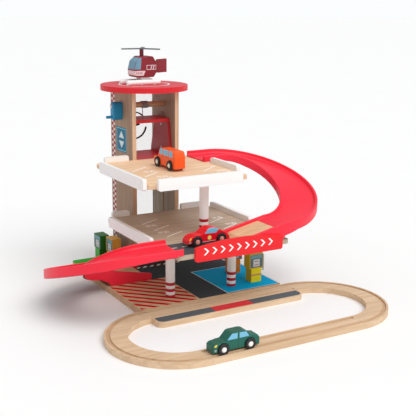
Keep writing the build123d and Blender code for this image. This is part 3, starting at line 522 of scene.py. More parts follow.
PAD_RED, PAD_SIDE_SHADED_RED, PAD_WHITE = tone(222, 56, 68), tone(220, 24, 38), tone(255, 250, 248)
PAD_RING_R, PAD_RING_W, PAD_SKIN = 49.0, 3.4, 0.6
PAD_BARS = ((-17.0, -11.0, -20.0, 20.0), (11.0, 17.0, -20.0, 20.0))


def upright_wood(shader, place, wood):
    """A tower panel's wood: a darker copy of the ply on its faces, as painted shade, and the lit
    copy on its front edge; gives the colour and the fibres.
    """
    face, fibres = wood_colour(shader, place, Z, wood)
    lit_edge_wood, _ = wood_colour(shader, place, Z, PANEL_EDGE)
    return shader.mix(shader.faces(Y, -1), face, lit_edge_wood), fibres


def tower_left_material():
    """Plywood upright; its outer face has a chequered strip and a blue plate with lift arrows."""
    shader = Shader("tower_left_print")
    place = shader.place()
    _, y, z = place
    outer = shader.faces(X, -1)
    # The panel's face takes the shaded ply: painted shade.
    wood, fibres = upright_wood(shader, place, SHADED_PLY)
    strip_back = TOWER_Y + CHECK_BACK
    strip_front = strip_back - CHECK_WIDE * CHECK_COLUMNS
    strip = y.between(strip_front, strip_back) * outer
    odd_y = (y - strip_front).repeat(2 * CHECK_WIDE).above(CHECK_WIDE)
    odd_z = z.repeat(2 * CHECK_TALL).above(CHECK_TALL)
    check = (odd_y - odd_z).math("ABSOLUTE")
    rim = rectangle(y, z, *PLATE_BOX, inset=RIM_OUT)
    rim = rim * (1 - rectangle(y, z, *PLATE_BOX, inset=RIM_IN)) * outer
    front, back, low, high = PLATE_BOX
    from_middle = y - (front + back) / 2, z - (low + high) / 2
    arrows = joined(*(
        patch(*(part * way for part in from_middle), *LIFT_ARROW) for way in (1, -1)
    )) * outer
    colour = shader.coats(
        wood, (strip, CHECK_PALE), (strip * check, CHECK_RED),
        (rectangle(y, z, *PLATE_BOX) * outer, PLATE_BLUE), (rim, PLATE_LINE),
        (arrows, PLATE_ARROW),
    )
    return shader.finish(colour, 0.5 + fibres * 0.2, fibres)


def tower_right_material():
    shader = Shader("tower_right_wood")
    # The far panel's face takes a darker, greyer ply: painted shade.
    wood, fibres = upright_wood(shader, shader.place(), FAR_PLY_PAINTED_SHADE)
    return shader.finish(wood, 0.5 + fibres * 0.2, fibres)


def back_panel_material():
    """Clear panel with a printed dial: a dark hoop, open at one side, and a short hand."""
    shader = Shader("tower_back_clear")
    place = shader.place()
    x, _, z = place
    here = x - TOWER_X, z - DIAL_Z
    ring = hoop(*here, 0, 0, DIAL_R, DIAL_LINE) * (1 - rectangle(*here, *DIAL_GAP))
    printed = joined(ring, stroke(*here, (0, 0), HAND_TO, HAND_LINE))
    haze = shader.noise(place, (0.02, 0.02, 0.02), detail=2.0)
    colour = shader.mix(printed, CLEAR_PANEL, DIAL_INK)
    solid = (printed + CLEAR_ALPHA).math("MINIMUM", 1.0)
    return shader.finish(colour, 0.08 + haze * 0.06, haze, depth=0.01, edge=0.3, alpha=solid)


def helipad_material():
    """Red round board; on top a white ring, and two bars where the floats stand; its side a darker,
    deeper red as painted shade.
    """
    shader = Shader("helipad_paint")
    place = shader.place()
    x, y, z = place
    top = z.above(PAD_TOP - PAD_SKIN)
    here = x - TOWER_X, y - TOWER_Y
    bars = (rectangle(*here, *bar) for bar in PAD_BARS)
    marks = joined(hoop(*here, 0, 0, PAD_RING_R, PAD_RING_W), *bars) * top
    # Painted shade: the side takes a darker red than the top.
    colour = shader.coats(PAD_RED, (marks, PAD_WHITE), (1 - top, PAD_SIDE_SHADED_RED))
    return lacquered(shader, place, colour, 0.4, 1.0)


# ---- pumps
HEAD_HALF, PUMP_FOOT = 15.5, 27.0        # half the head's width, and where the head starts
PANEL_GREY, HEADER_BLUE, PUMP_PLATE = tone(98, 122, 128), tone(112, 164, 172), tone(214, 218, 216)
PUMP_DASH, PUMP_BAND, BAND_SQUARE = tone(176, 120, 120), tone(226, 190, 120), tone(196, 60, 40)
PUMP_DASHES, PUMP_DASH_HALF, PUMP_DASH_W = (6.0, 12.6), 4.5, 1.7
PUMP_BAND_LOW, PUMP_BAND_HIGH, BAND_CHECK = 12.8, 16.0, 1.6
PANEL_HALF, PANEL_MARGIN, HEADER_HALF, HEADER_DOWN = 13.9, 1.5, 12.4, (8.5, 2.5)
PUMP_PLATE_HALF, PUMP_PLATE_UP = 7.0, (3.5, 17.5)


def pump_material(node, side_paint, front_paint, faces_left, banded):
    """A block pump's paint: grey panel with a light header and a white plate of plain dashes."""
    shader = Shader(f"{node}_paint")
    low, high = corners(node)
    place = shader.place()
    z = place[Z]
    if faces_left:
        across, front, middle = place[Y], shader.faces(X, -1), (low[Y] + high[Y]) / 2
    else:
        across, front, middle = place[X], shader.faces(Y, -1), low[X] + HEAD_HALF
    foot_top, top = low[Z] + PUMP_FOOT, high[Z]

    def area(half, bottom, upper):
        return rectangle(across, z, middle - half, middle + half, bottom, upper) * front

    panel = area(PANEL_HALF, foot_top + PANEL_MARGIN, top - PANEL_MARGIN)
    header = area(HEADER_HALF, *(top - down for down in HEADER_DOWN))
    plate = area(PUMP_PLATE_HALF, *(foot_top + up for up in PUMP_PLATE_UP))
    dashes = joined(*(
        area(PUMP_DASH_HALF, foot_top + up, foot_top + up + PUMP_DASH_W) for up in PUMP_DASHES
    ))
    layers = [(front * (1 - z.above(foot_top)), front_paint)]
    if banded:
        odd_across = across.repeat(2 * BAND_CHECK).above(BAND_CHECK)
        squares = (odd_across - z.repeat(2 * BAND_CHECK).above(BAND_CHECK)).math("ABSOLUTE")
        band = z.between(low[Z] + PUMP_BAND_LOW, low[Z] + PUMP_BAND_HIGH) * front
        layers += [(band, PUMP_BAND), (band * squares, BAND_SQUARE)]
    layers += [(panel, PANEL_GREY), (header, HEADER_BLUE), (plate, PUMP_PLATE), (dashes, PUMP_DASH)]
    return lacquered(shader, place, shader.coats(side_paint, *layers), 0.4, 0.6, along=Z)


# ---- vehicles
# A car's own directions: x runs from its front to its rear, z up from what it stands on.
PANE, END_PANE = tone(122, 190, 220), tone(130, 188, 212)
LAMP, BUMPER = tone(245, 205, 60), tone(150, 165, 160)
CARS = {    # turn, clearance, height of the lamps, paint, hub paint
    "green_car": (0.0, 5.2, 17.6, tone(24, 100, 84), tone(246, 244, 240)),
    "red_car": (0.0, 6.2, 15.6, tone(234, 16, 36), tone(226, 150, 140)),
    "orange_car": (-90.0, 5.2, 17.6, tone(255, 92, 26), tone(248, 240, 226)),
}
SIDE_PANES = {
    "green_car": (
        ((-16.5, 22.4), (0.8, 22.4), (1.2, 31.2), (-10.8, 31.2)),
        ((4.6, 22.4), (22.0, 22.4), (16.6, 30.6), (4.6, 31.2)),
    ),
    "red_car": (((-9.5, 21.6), (13.0, 20.8), (19.0, 26.4), (14.0, 30.6), (-1.6, 30.4)),),
    "orange_car": (
        ((-19.0, 25.0), (-5.5, 25.0), (-5.5, 36.0), (-14.5, 36.0)),
        ((-2.8, 25.0), (16.0, 25.0), (16.0, 36.0), (-2.8, 36.0)),
        ((19.0, 25.0), (33.0, 25.0), (33.0, 36.0), (19.0, 36.0)),
    ),
}
LAMP_X, LAMP_R, BUMPER_AT, BUMPER_R = -37.4, 2.6, (-37.6, 9.6), 2.0
WINDSCREEN_HALF = 8.6
HUB_R, TYRE = 4.3, tone(30, 29, 30)


def car_material(name):
    """Paint, windows, lamps and a few plain marks."""
    shader = Shader(f"{name}_paint")
    low, high = corners(f"{name}_body")
    turn, clearance, lamp_z, paint, _ = CARS[name]
    middle = (low + high) / 2
    place = shader.place((middle[X], middle[Y], low[Z] - clearance), turn)
    x, y, z = place
    sideways = shader.faces_either(X if turn else Y, least=0.6)
    panes = SIDE_PANES[name]
    layers = [
        (joined(*(patch(x, z, *points) for points in panes)) * sideways, PANE),
        (disc(x, z, LAMP_X, lamp_z, LAMP_R) * sideways, LAMP),
        (disc(x, z, *BUMPER_AT, BUMPER_R) * sideways, BUMPER),
    ]
    if name == "red_car":
        roundel = disc(x, z, 0.4, 13.8, 3.7)
        sill_line = stroke(x, z, (-14, 7.6), (13, 7.6), 1.1)
        layers.append((roundel * sideways, tone(250, 226, 120)))
        layers.append((sill_line * sideways, tone(240, 205, 205)))
    elif name == "green_car":
        door = stroke(x, z, (2.7, 8), (2.7, 31.5), 0.7)
        handle = stroke(x, z, (-12, 19.4), (-7, 19.4), 1.2)
        layers.insert(0, (joined(door, handle) * sideways * 0.7, tone(16, 58, 52)))
    else:
        handles = joined(*(stroke(x, z, (left, 22.4), (left + 4, 22.4), 1.3) for left in (-8, 9)))
        layers.insert(0, (handles * sideways, tone(120, 50, 30)))
        heights = [height for _, height in panes[0]]
        forward = shader.facing(Y).above(0.35, FACES_SOFT)
        windscreen = forward * (1 - y.math("ABSOLUTE").above(WINDSCREEN_HALF))
        windscreen = z.between(min(heights) + 0.8, max(heights) - 0.4) * windscreen
        layers.insert(2, (windscreen, END_PANE))
    return lacquered(shader, place, shader.coats(paint, *layers), 0.3, 0.8)


def wheel_material(name, node, hub_paint):
    """Black rubber-like rim with a painted hub, by distance from the axle's line."""
    shader = Shader(name)
    low, high = corners(node)
    x, y, z = shader.place((low + high) / 2)
    across = x if high[X] - low[X] < high[Y] - low[Y] else y
    hub = 1 - (across * across + z * z).math("SQRT").above(HUB_R)
    speckle = shader.noise((x, y, z), (0.9, 0.9, 0.9))
    colour = shader.mix(hub, TYRE, hub_paint)
    return shader.finish(colour, 0.5 + speckle * 0.15, speckle, depth=0.04, edge=0.5)


# The helicopter's own directions: x runs from its nose to its tail, z up from its belly.
COPTER_RED, SCREEN_BLUE, NOSE_PALE = tone(140, 32, 44), tone(112, 160, 182), tone(236, 214, 214)
NOSE_BAR, SIDE_MARK = tone(190, 150, 152), tone(232, 214, 216)
SCREEN = ((-2, 15.5), (13, 15.5), (14.5, 37.5), (-2, 37.5))
NOSE_PANEL = ((-2, 3.5), (19, 3.5), (23, 12.8), (-2, 12.8))
NOSE_BARS, SIDE_SLANTS, SCREEN_HALF = (3.5, 7.0, 10.5, 14.0), (34.5, 39.5), 14.5
SIDE_BOX, SIDE_BOX_LINE = (25.5, 46.0, 14.5, 23.5), 1.1


def helicopter_material():
    """Dark red body: blue-grey windscreen round the nose, pale panel below it, side marks."""
    shader = Shader("helicopter_paint")
    low, high = corners("helicopter_body")
    place = shader.place((low[X], (low[Y] + high[Y]) / 2, low[Z]))
    x, y, z = place
    sideways = shader.faces_either(Y, least=0.5)
    nose = 1 - y.math("ABSOLUTE").above(SCREEN_HALF)
    screen = patch(x, z, *SCREEN) * joined(sideways, nose)
    panel = patch(x, z, *NOSE_PANEL)
    bars = joined(*(rectangle(x, z, left, left + 2.4, 6.0, 10.6) for left in NOSE_BARS)) * panel
    box = rectangle(x, z, *SIDE_BOX) * (1 - rectangle(x, z, *SIDE_BOX, inset=SIDE_BOX_LINE))
    slants = joined(*(
        stroke(x, z, (left, 16.2), (left + 2.2, 22.0), 2.0) for left in SIDE_SLANTS
    ))
    colour = shader.coats(
        COPTER_RED, (screen, SCREEN_BLUE), (panel, NOSE_PALE), (bars, NOSE_BAR),
        (joined(box, slants) * sideways, SIDE_MARK),
    )
    return lacquered(shader, place, colour, 0.34, 0.8)


# ---- moulded chutes
# The model's sizes: the chute bends by half a turn and drops by one level. Distances along it
# are from the start of the bend.
OUT_R, IN_R = 139.0, 69.0
WALL_T, SKIRT_T, FLOOR_T = 5.0, 3.0, 3.0
START_L, EXIT_L, TIP_L = 45.4, 89.7, 6.0
RIM_START, RIM_END, TIP_RIM = 11.3, 31.0, 13.2
DIP_START, DIP_END = 9.2, 4.8
SIDE_START, SIDE_FULL, SIDE_GROWS = 12.9, 17.0, 6.0
SIDE_FULL_FROM, SIDE_GROWS_FROM = 0.2, 0.93        # shares of the bend
FLOOR_END, STEP, LAP = 16.0, 6.0, 12.4
RIM_ROUND, CORNER, FLOOR_ROUND_SHARE = 1.6, 0.6, 0.62
TIP_ROUND, LAP_IN, DECK_GAP, THINNEST = 2.2, 0.4, 0.05, 0.2
TIP_STEPS, BEND_STEPS, LEAD_STEPS, EXIT_STEPS = 7, 120, 12, 24
CENTRE_R = (OUT_R + IN_R) / 2
BEND_L = math.pi * CENTRE_R
CHUTE_LOW, CHUTE_HIGH = corners("lower_chute")
CHUTE_Y = (CHUTE_LOW[Y] + CHUTE_HIGH[Y]) / 2
LEVEL_PITCH = MID_TOP - BASE_TOP
CHUTE_BRIGHT, CHUTE_DEEP, CHUTE_PAINTED_SHADE = tone(250, 42, 66), tone(240, 36, 58), tone(120, 24, 32)


def rim_height(along):
    """Rim above the deck below: level, then a smooth S through the bend, then a straight fall."""
    top = LEVEL_PITCH + RIM_START
    share = np.clip(along / BEND_L, 0, 1)
    bend = top - (top - RIM_END) * share * share * (3 - 2 * share)
    past = np.maximum(along - BEND_L, 0) / (EXIT_L - TIP_L)
    return bend - (RIM_END - TIP_RIM) * past


def side_height(along):
    """Height of the chute's side: it grows into the bend, and comes down onto the deck after."""
    share = np.clip(along / (SIDE_FULL_FROM * BEND_L), 0, 1)
    grown = SIDE_START + (SIDE_FULL - SIDE_START) * share
    last = (along - SIDE_GROWS_FROM * BEND_L) / ((1 - SIDE_GROWS_FROM) * BEND_L)
    grown = grown + SIDE_GROWS * np.clip(last, 0, 1)
    lands = np.clip((along - BEND_L) / STEP, 0, 1)
    return grown + (rim_height(along) - grown) * lands


def dip(along):
    """Depth of the floor below the rim, which lessens evenly through the bend."""
    return DIP_START - (DIP_START - DIP_END) * np.clip(along / BEND_L, 0, 1)


def arc_points(centre, radius, start, end, count=5):
    """Points of an arc from one angle to another: centre plus radius times (cosine, sine)."""
    turns = np.radians(np.linspace(start, end, count))
    return [(centre[0] + radius * math.cos(t), centre[1] + radius * math.sin(t)) for t in turns]


def levels(along):
    """Heights at one place: rim, foot of the side, floor, and underside of the floor."""
    rim = rim_height(along)
    floor = rim - dip(along)
    lowest = (LEVEL_PITCH if along < LAP - START_L else 0) + DECK_GAP
    foot = max(rim - side_height(along), lowest)
    return rim, foot, floor, max(floor - FLOOR_T, foot + THINNEST)


def wall_profile(along, slimness):
    """Closed outline of a side wall: (depth in from its outer face, height) pairs."""
    rim, foot, _, under = levels(along)
    skirt = SKIRT_T + (WALL_T - SKIRT_T) * np.clip(along - BEND_L - FLOOR_END + 1, 0, 1)
    points = [(skirt, under), (skirt, foot), (CORNER, foot), (0, foot + CORNER)]
    points += arc_points((RIM_ROUND, rim - RIM_ROUND), RIM_ROUND, 180, 90)
    points += arc_points((WALL_T - RIM_ROUND, rim - RIM_ROUND), RIM_ROUND, 90, 0)
    points.append((WALL_T, under + CORNER / 4))
    middle = WALL_T / 2
    return np.array([(middle + (depth - middle) * slimness, height) for depth, height in points])


def floor_profile(along):
    """Closed outline of the floor, which curves up into both walls: (radius, height) pairs."""
    _, _, floor, under = levels(along)
    inner, outer = IN_R + WALL_T, OUT_R - WALL_T
    round_r = FLOOR_ROUND_SHARE * dip(along)
    points = [(outer + LAP_IN, under), (outer + LAP_IN, floor + round_r)]
    points += arc_points((outer - round_r, floor + round_r), round_r, 0, -90, 7)
    points += arc_points((inner + round_r, floor + round_r), round_r, -90, -180, 7)
    points += [(inner - LAP_IN, floor + round_r), (inner - LAP_IN, under)]
    return np.array(points)


def chute_points(along, profile):
    """Places of a profile along the chute: x and y turn with the bend, z is the height.

    In the bend the angle is the distance over the middle radius; before and after it, a point
    moves straight on along the tangent."""
    turn = np.clip(along / CENTRE_R, 0, math.pi)[:, None]
    past = np.where(along < 0, along, np.maximum(along - BEND_L, 0))[:, None]
    radius, height = profile[..., 0], profile[..., 1]
    x = -np.sin(turn) * radius - np.cos(turn) * past
    y = -np.cos(turn) * radius + np.sin(turn) * past
    return np.stack([x, y, height], axis=-1)


def tube_faces(rings, sides):
    """Quads between rings of points, each ring closed, with a face at each end."""
    ring, side = np.meshgrid(np.arange(rings - 1), np.arange(sides), indexing="ij")
    here, following = ring * sides, (side + 1) % sides
    corners_of = (here + side, here + following, here + sides + following, here + sides + side)
    quads = np.stack(corners_of, axis=-1).reshape(-1, 4).tolist()
    quads.append(list(range(sides))[::-1])
    quads.append([(rings - 1) * sides + side for side in range(sides)])
    return quads


def surface(name, shells, smooth_below=40.0):
    """One piece from shells of points (rings x sides x 3, in millimetres), normals outward."""
    points, faces, first = [], [], 0
    for shell in shells:
        rings, sides = shell.shape[:2]
        points.append(shell.reshape(-1, 3) * MM)
        faces += [[first + corner for corner in face] for face in tube_faces(rings, sides)]
        first += rings * sides
    mesh = bpy.data.meshes.new(name)
    mesh.from_pydata(np.concatenate(points).tolist(), [], faces)
    piece = bpy.data.objects.new(name, mesh)
    bpy.context.scene.collection.objects.link(piece)
    bpy.context.view_layer.objects.active = piece
    piece.select_set(True)
    bpy.ops.object.mode_set(mode="EDIT")
    bpy.ops.mesh.select_all(action="SELECT")
    bpy.ops.mesh.normals_make_consistent(inside=False)
    bpy.ops.object.mode_set(mode="OBJECT")
    piece.select_set(False)
    mesh.shade_smooth()
    mesh.set_sharp_from_angle(angle=math.radians(smooth_below))
    return piece


def chute_places():
    """Distances along the chute: close together at the rounded tips and where the floor ends."""
    nose = TIP_ROUND * (1 - np.sin(np.linspace(0.12, math.pi / 2, TIP_STEPS)))
    lead = np.linspace(TIP_ROUND + 0.5, START_L, LEAD_STEPS, endpoint=False)
    floor_end = np.linspace(0, FLOOR_END, int(FLOOR_END) + 1)[1:]
    run_out = np.linspace(FLOOR_END + 1, EXIT_L - TIP_ROUND, EXIT_STEPS)
    return np.unique(np.concatenate([
        np.concatenate([nose, lead]) - START_L, np.linspace(0, BEND_L, BEND_STEPS),
        BEND_L + np.concatenate([floor_end, run_out]), BEND_L + EXIT_L - nose[::-1][1:],
    ]))


def chute_piece(name, node, centre, way, material):
    """The moulded chute: two walls that run its whole length to rounded tips, and the floor.

    way is 1, or -1 for a chute turned by half a turn about its centre."""
    along = chute_places()
    from_tips = np.minimum(along + START_L, BEND_L + EXIT_L - along)
    short_of = 1 - np.clip(from_tips / TIP_ROUND, 0, 1)
    slimness = 1 - TIP_ROUND * 2 / WALL_T * (1 - np.sqrt(1 - short_of ** 2))
    walls = np.array([wall_profile(*sizes) for sizes in zip(along, slimness)])
    outer_wall = np.stack([OUT_R - walls[..., 0], walls[..., 1]], axis=-1)
    inner_wall = np.stack([IN_R + walls[..., 0], walls[..., 1]], axis=-1)
    floored = along[along <= BEND_L + FLOOR_END + 0.01]
    floors = np.array([floor_profile(place) for place in floored])
    shells = [
        chute_points(places, profile) * (way, way, 1) + np.array(centre)
        for places, profile in ((along, outer_wall), (along, inner_wall), (floored, floors))
    ]
    piece = surface(name, shells)
    piece.data.materials.append(material)
    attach(piece, "garage")
    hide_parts(node)


def chute_material():
    """Moulded red plastic: satin, with a faint ripple, a lighter bloom, and painted shade on the
    faces that look down.
    """
    shader = Shader("chute_plastic")
    place = shader.place()
    ripple = shader.noise(place, (0.6, 0.6, 0.6), detail=2.0)
    bloom = shader.noise(place, (0.012, 0.012, 0.012), detail=2.0)
    # Painted shade: faces that look down are darkened.
    underside = (0 - shader.facing(Z)).above(0.5, soft=0.2)
    bright = shader.mix(bloom.above(0.5, soft=0.4) * 0.5, CHUTE_BRIGHT, CHUTE_DEEP)
    colour = shader.mix(underside, bright, CHUTE_PAINTED_SHADE)
    return shader.finish(colour, 0.36 + ripple * 0.08, ripple, depth=0.02, edge=0.0, shine=0.35)


# ---- cords and the hose
CORD_D, CORD_PITCH, CORD_LAY, STRANDS = 1.5, 2.0, 3.0, 3
KNOT_R, KNOT_SWELL = 1.5, 1.6
HOSE_D, HOSE_TURNS = 1.4, 9
ROUND_SIDES, POINTS_A_TURN = 14, 40
SMOOTH_CORD = 80.0       # angle in degrees below which a cord's faces join smoothly


def normals_along(path):
    """Two normals at each point of a path, kept from twisting about X or Z."""
    tangent = np.gradient(path, axis=0)
    tangent /= np.linalg.norm(tangent, axis=1)[:, None]
    steady = np.eye(3)[X if abs(tangent[0, 0]) < 0.7 else Z]
    first = np.cross(tangent, steady)
    first /= np.linalg.norm(first, axis=1)[:, None]
    return first, np.cross(tangent, first)


def twisted_tube(path, radius, strands=STRANDS):
    """A laid cord along a path: its radius swells and dips as the strands wind round."""
    run = np.concatenate([[0], np.cumsum(np.linalg.norm(np.diff(path, axis=0), axis=1))])
    first, second = normals_along(path)
    turn = np.linspace(0, 2 * math.pi, ROUND_SIDES, endpoint=False)[None, :]
    wound = turn - run[:, None] * 2 * math.pi / CORD_LAY
    wave = 0.9 + 0.1 * np.abs(np.cos(wound * strands / 2))
    size = np.broadcast_to(np.asarray(radius, float).reshape(-1, 1), (len(path), 1)) * wave
    across = first[:, None, :] * np.cos(turn)[..., None]
    across = across + second[:, None, :] * np.sin(turn)[..., None]
    return path[:, None, :] + across * size[..., None]


def helix(centre, axis, radius, pitch, turns, start, hand):
    """Points of a helix round an axis: it starts at an angle, turns by hand, rises by pitch."""
    turn = np.linspace(0, turns * 2 * math.pi, int(turns * POINTS_A_TURN) + 1)
    angle = start + hand * turn
    points = np.zeros((len(turn), 3))
    points[:, axis] = pitch * turn / (2 * math.pi)
    others = [part for part in (X, Y, Z) if part != axis]
    points[:, others] = np.stack([np.cos(angle) * radius, np.sin(angle) * radius], axis=1)
    return points + np.array(centre)


def cord_material():
    shader = Shader("grey_cord")
    fuzz = shader.noise(shader.place(), (2.2, 2.2, 2.2))
    colour = shader.mix(fuzz, tone(122, 122, 126), tone(176, 174, 174))
    return shader.finish(colour, 0.8 + fuzz * 0.15, fuzz, depth=0.15, edge=0.2)


def hose_material():
    """Pale grey rubber, a little dusty."""
    shader = Shader("pump_hose")
    dust = shader.noise(shader.place(), (0.8, 0.8, 0.8))
    light, dark = tone(168, 168, 172), tone(128, 128, 134)
    colour = shader.mix(dust.above(0.5, soft=0.4) * 0.4, light, dark)
    return shader.finish(colour, 0.35 + dust * 0.15, dust, depth=0.02, edge=0.2)


def lift_cords(material):
    """The winding on the axle, and the cord that hangs from it to a knot at the cab's roof."""
    low, high = corners("cord_winding")
    _, axle_y, axle_z = (low + high) / 2
    wind_r = (high[Y] - low[Y] - CORD_D) / 2
    turns = round((high[X] - low[X] - CORD_D) / CORD_PITCH)
    start = (low[X] + CORD_D / 2, axle_y, axle_z)
    wound = helix(start, X, wind_r, CORD_PITCH, turns, math.pi, -1)
    winding = surface("cord_winding_turns", [twisted_tube(wound, CORD_D / 2)], SMOOTH_CORD)
    cord_low, cord_high = corners("lift_cord")
    x, y = (cord_low + cord_high)[:2] / 2
    end, knot_end = cord_low[Z], cord_low[Z] + 2 * KNOT_R
    above_knot = np.linspace(knot_end + 0.3, axle_z, 60)
    heights = np.concatenate([np.linspace(end, knot_end, 9), above_knot])
    off = (heights - end - KNOT_R) / KNOT_R
    swell = 1 + KNOT_SWELL * np.sqrt(np.clip(1 - off ** 2, 0, 1))
    path = heights[:, None] * (0, 0, 1) + (x, y, 0)
    hanging = surface("lift_cord_hanging", [twisted_tube(path, CORD_D / 2 * swell)], SMOOTH_CORD)
    for piece in (winding, hanging):
        piece.data.materials.append(material)
    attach(winding, "crank")
    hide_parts("cord_winding")
    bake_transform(hanging)
    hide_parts("lift_cord")


def pump_hose():
    """The yellow pump's curly hose: a helix that hangs beside the head."""
    low, high = corners("yellow_pump_hose")
    rise = (high[Z] - low[Z] - HOSE_D) / HOSE_TURNS
    centre = ((low[X] + high[X]) / 2, (low[Y] + high[Y]) / 2, low[Z] + HOSE_D / 2)
    path = helix(centre, Z, (high[X] - low[X] - HOSE_D) / 2, rise, HOSE_TURNS, 0.0, 1)
    tube = twisted_tube(path, HOSE_D / 2, strands=0)
    piece = surface("yellow_pump_hose_curls", [tube], SMOOTH_CORD)
    piece.data.materials.append(hose_material())
    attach(piece, "garage")
    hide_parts("yellow_pump_hose")


# ---- dressing the pieces
PUMPS = (    # node, side paint, front paint, faces left, banded
    ("yellow_pump", tone(214, 176, 24), tone(248, 224, 10), False, True),
    ("orange_pump", tone(240, 120, 8), tone(248, 132, 10), False, True),
    ("green_pump", tone(30, 112, 34), tone(60, 170, 40), True, False),
    ("amber_pump", tone(236, 178, 70), tone(230, 160, 50), True, False),
)


def dress_garage():
    dress(base_material(), "base_board")
    # The mid deck's darker wood is painted shade.
    dress(deck_material("mid_deck_print", MID_WOOD_PAINTED_SHADE, MID_BAYS, MID_CARS, MID_ROAD), "mid_deck")
    dress(deck_material("upper_deck_print", UPPER_WOOD, UPPER_BAYS, UPPER_CARS), "upper_deck")
    dress(
        track_material(), "near_track_straight", "far_track_straight", "left_track_curve",
        "right_track_curve",
    )
    dress(strip_material(), "parking_strip")
    dress(
        painted("white_paint", WHITE, 0.4, 1.0), "mid_left_rail",
        "mid_right_rail", "mid_back_rails", "upper_left_rail", "upper_right_rail",
        "upper_front_rail", "upper_back_rail", "helicopter_stand", "helicopter_floats",
    )
    low_post = pillar_material("ground_pillar_paint", BASE_TOP)
    dress(low_post, "front_left_pillar", "front_right_pillar")
    dress(pillar_material("upper_pillar_paint", MID_TOP), "upper_pillar")
    dress(sign_material(), "front_sign")
    dress(tower_left_material(), "tower_left_panel")
    dress(tower_right_material(), "tower_right_panel")
    dress(back_panel_material(), "tower_back_panel")
    dress(helipad_material(), "helipad")
    dress(painted("screw_cap_red", tone(186, 30, 42), 0.3, 0.6), "helipad_screws")
    ramp_wood = tone(240, 200, 158), tone(216, 168, 124)
    dress(wooden("ramp_wood", ramp_wood, edge=0.4), "upper_ramp", "lower_ramp")
    for node, *looks in PUMPS:
        dress(pump_material(node, *looks), node)


def dress_lift():
    cab = painted("cab_red", tone(178, 30, 40), edge=0.8, along=Z)
    dress(cab, "lift_left_wall", "lift_right_wall")
    dress(painted("cab_floor_red", tone(206, 44, 54), 0.4), "lift_floor")
    dress(painted("cab_roof_red", tone(206, 34, 42), 0.4), "lift_roof")
    axle_wood = tone(206, 168, 128), tone(180, 140, 102)
    dress(wooden("axle_wood", axle_wood, edge=0.3), "lift_axle")
    crank_blue = painted("crank_blue", tone(34, 134, 178), 0.3, 1.2)
    dress(crank_blue, "crank_arm", "crank_peg")
    steel = plain_grain(
        "steel", tone(190, 192, 196), roughness=0.28, uneven=0.2, stretch=(2.0, 0.3, 2.0),
        depth=0.01, edge=0.3, metallic=1.0,
    )
    dress(steel, "crank_screw", "lift_guide_pins")


def dress_vehicles():
    for name, (*_, hub_paint) in CARS.items():
        dress(car_material(name), f"{name}_body")
        for end in ("front", "rear"):
            node = f"{name}_{end}_wheels"
            dress(wheel_material(f"{name}_{end}_wheel_finish", node, hub_paint), node)
    dress(helicopter_material(), "helicopter_body")
    dress(painted("helicopter_tail_paint", tone(142, 42, 54)), "helicopter_tail")
    dress(painted("mast_red", tone(112, 22, 34), edge=0.4), "helicopter_mast")
    rotor_grey = plain_grain(
        "rotor_grey", tone(108, 114, 118), roughness=0.5, uneven=0.1, stretch=(0.8, 0.8, 0.8),
        depth=0.02, edge=0.4,
    )
    dress(rotor_grey, "helicopter_rotor")


# ---- floor, light and camera
FLOOR_REACH = 30.0       # metres
AMBIENT, ROOM_COLOUR = 0.6, (0.965, 0.985, 1.0, 1)
SUN_ENERGY, SUN_SPREAD, SUN_FROM = 1.9, 50.0, (0.16, -0.56, 0.85)
CAMERA_AT = (-0.7260, -1.3725, 0.5189)
CAMERA_YAW, CAMERA_PITCH, CAMERA_ROLL = (math.radians(part) for part in (30.41, 13.71, 0.53))
CAMERA_LENS, SENSOR, CLIP_END = 71.88, 36.0, 100.0


def floor_piece():
    """A wide pale floor that keeps the shadows."""
    reach = FLOOR_REACH
    square = [(-reach, -reach, 0), (reach, -reach, 0), (reach, reach, 0), (-reach, reach, 0)]
    mesh = bpy.data.meshes.new("floor")
    mesh.from_pydata(square, [], [(0, 1, 2, 3)])
    floor = bpy.data.objects.new("floor", mesh)
    bpy.context.scene.collection.objects.link(floor)
    shader = Shader("pale_floor")
    cloud = shader.noise(shader.place(), (0.004, 0.004, 0.004), detail=1.0)
    colour = shader.mix(cloud, tone(250, 249, 248), tone(248, 247, 246))
    sockets = {"Base Color": colour, "Roughness": 0.7}
    coat = shader.add("ShaderNodeBsdfPrincipled", None, sockets)
    shader.add("ShaderNodeOutputMaterial", None, (coat,))
    mesh.materials.append(shader.owner)


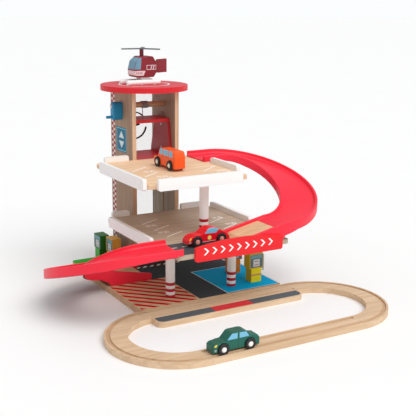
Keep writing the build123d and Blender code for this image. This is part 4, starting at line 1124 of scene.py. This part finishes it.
def light_room():
    """White surroundings, dimmer as a lamp than as they look, and one broad high light."""
    room = Shader("studio", bpy.data.worlds.new("studio"))
    bpy.context.scene.world = room.owner
    seen = room.add("ShaderNodeLightPath", output="Is Camera Ray")
    seen = seen.math("MAXIMUM", room.add("ShaderNodeLightPath", output="Is Transmission Ray"))
    sockets = {"Value": seen, "To Min": AMBIENT, "To Max": 1.0}
    sockets = {"Color": ROOM_COLOUR, "Strength": room.add("ShaderNodeMapRange", None, sockets)}
    background = room.add("ShaderNodeBackground", None, sockets)
    room.add("ShaderNodeOutputWorld", None, (background,))

    lamp = bpy.data.lights.new("broad_light", "SUN")
    lamp.energy = SUN_ENERGY
    lamp.angle = math.radians(SUN_SPREAD)
    sun = bpy.data.objects.new("broad_light", lamp)
    sun.rotation_mode = "QUATERNION"
    sun.rotation_quaternion = Vector(SUN_FROM).to_track_quat("Z", "Y")
    bpy.context.scene.collection.objects.link(sun)


def aim_camera():
    """The photograph's view: turned by yaw from +Y, down by pitch, and rolled."""
    yaw, pitch, roll = CAMERA_YAW, CAMERA_PITCH, CAMERA_ROLL
    flat = math.cos(pitch)
    ahead = np.array((math.sin(yaw) * flat, math.cos(yaw) * flat, -math.sin(pitch)))
    level = np.array((math.cos(yaw), -math.sin(yaw), 0))
    upward = np.cross(level, ahead)
    right = level * math.cos(roll) + upward * math.sin(roll)
    top = upward * math.cos(roll) - level * math.sin(roll)
    data = bpy.data.cameras.new("camera")
    data.sensor_width, data.lens, data.clip_end = SENSOR, CAMERA_LENS, CLIP_END
    camera = bpy.data.objects.new("camera", data)
    turned = Matrix((right, top, -ahead)).transposed().to_4x4()
    camera.matrix_world = Matrix.Translation(CAMERA_AT) @ turned
    bpy.context.scene.collection.objects.link(camera)
    bpy.context.scene.camera = camera


dress_garage()
dress_lift()
dress_vehicles()
red_plastic = chute_material()
LOWER_CENTRE = (CHUTE_LOW[X] + OUT_R, CHUTE_Y, BASE_TOP)
UPPER_CENTRE = (corners("upper_chute")[1][X] - OUT_R, CHUTE_Y, MID_TOP)
chute_piece("lower_chute_moulding", "lower_chute", LOWER_CENTRE, 1, red_plastic)
chute_piece("upper_chute_moulding", "upper_chute", UPPER_CENTRE, -1, red_plastic)
lift_cords(cord_material())
pump_hose()
floor_piece()
light_room()
aim_camera()
bpy.context.scene.view_settings.view_transform = "Standard"
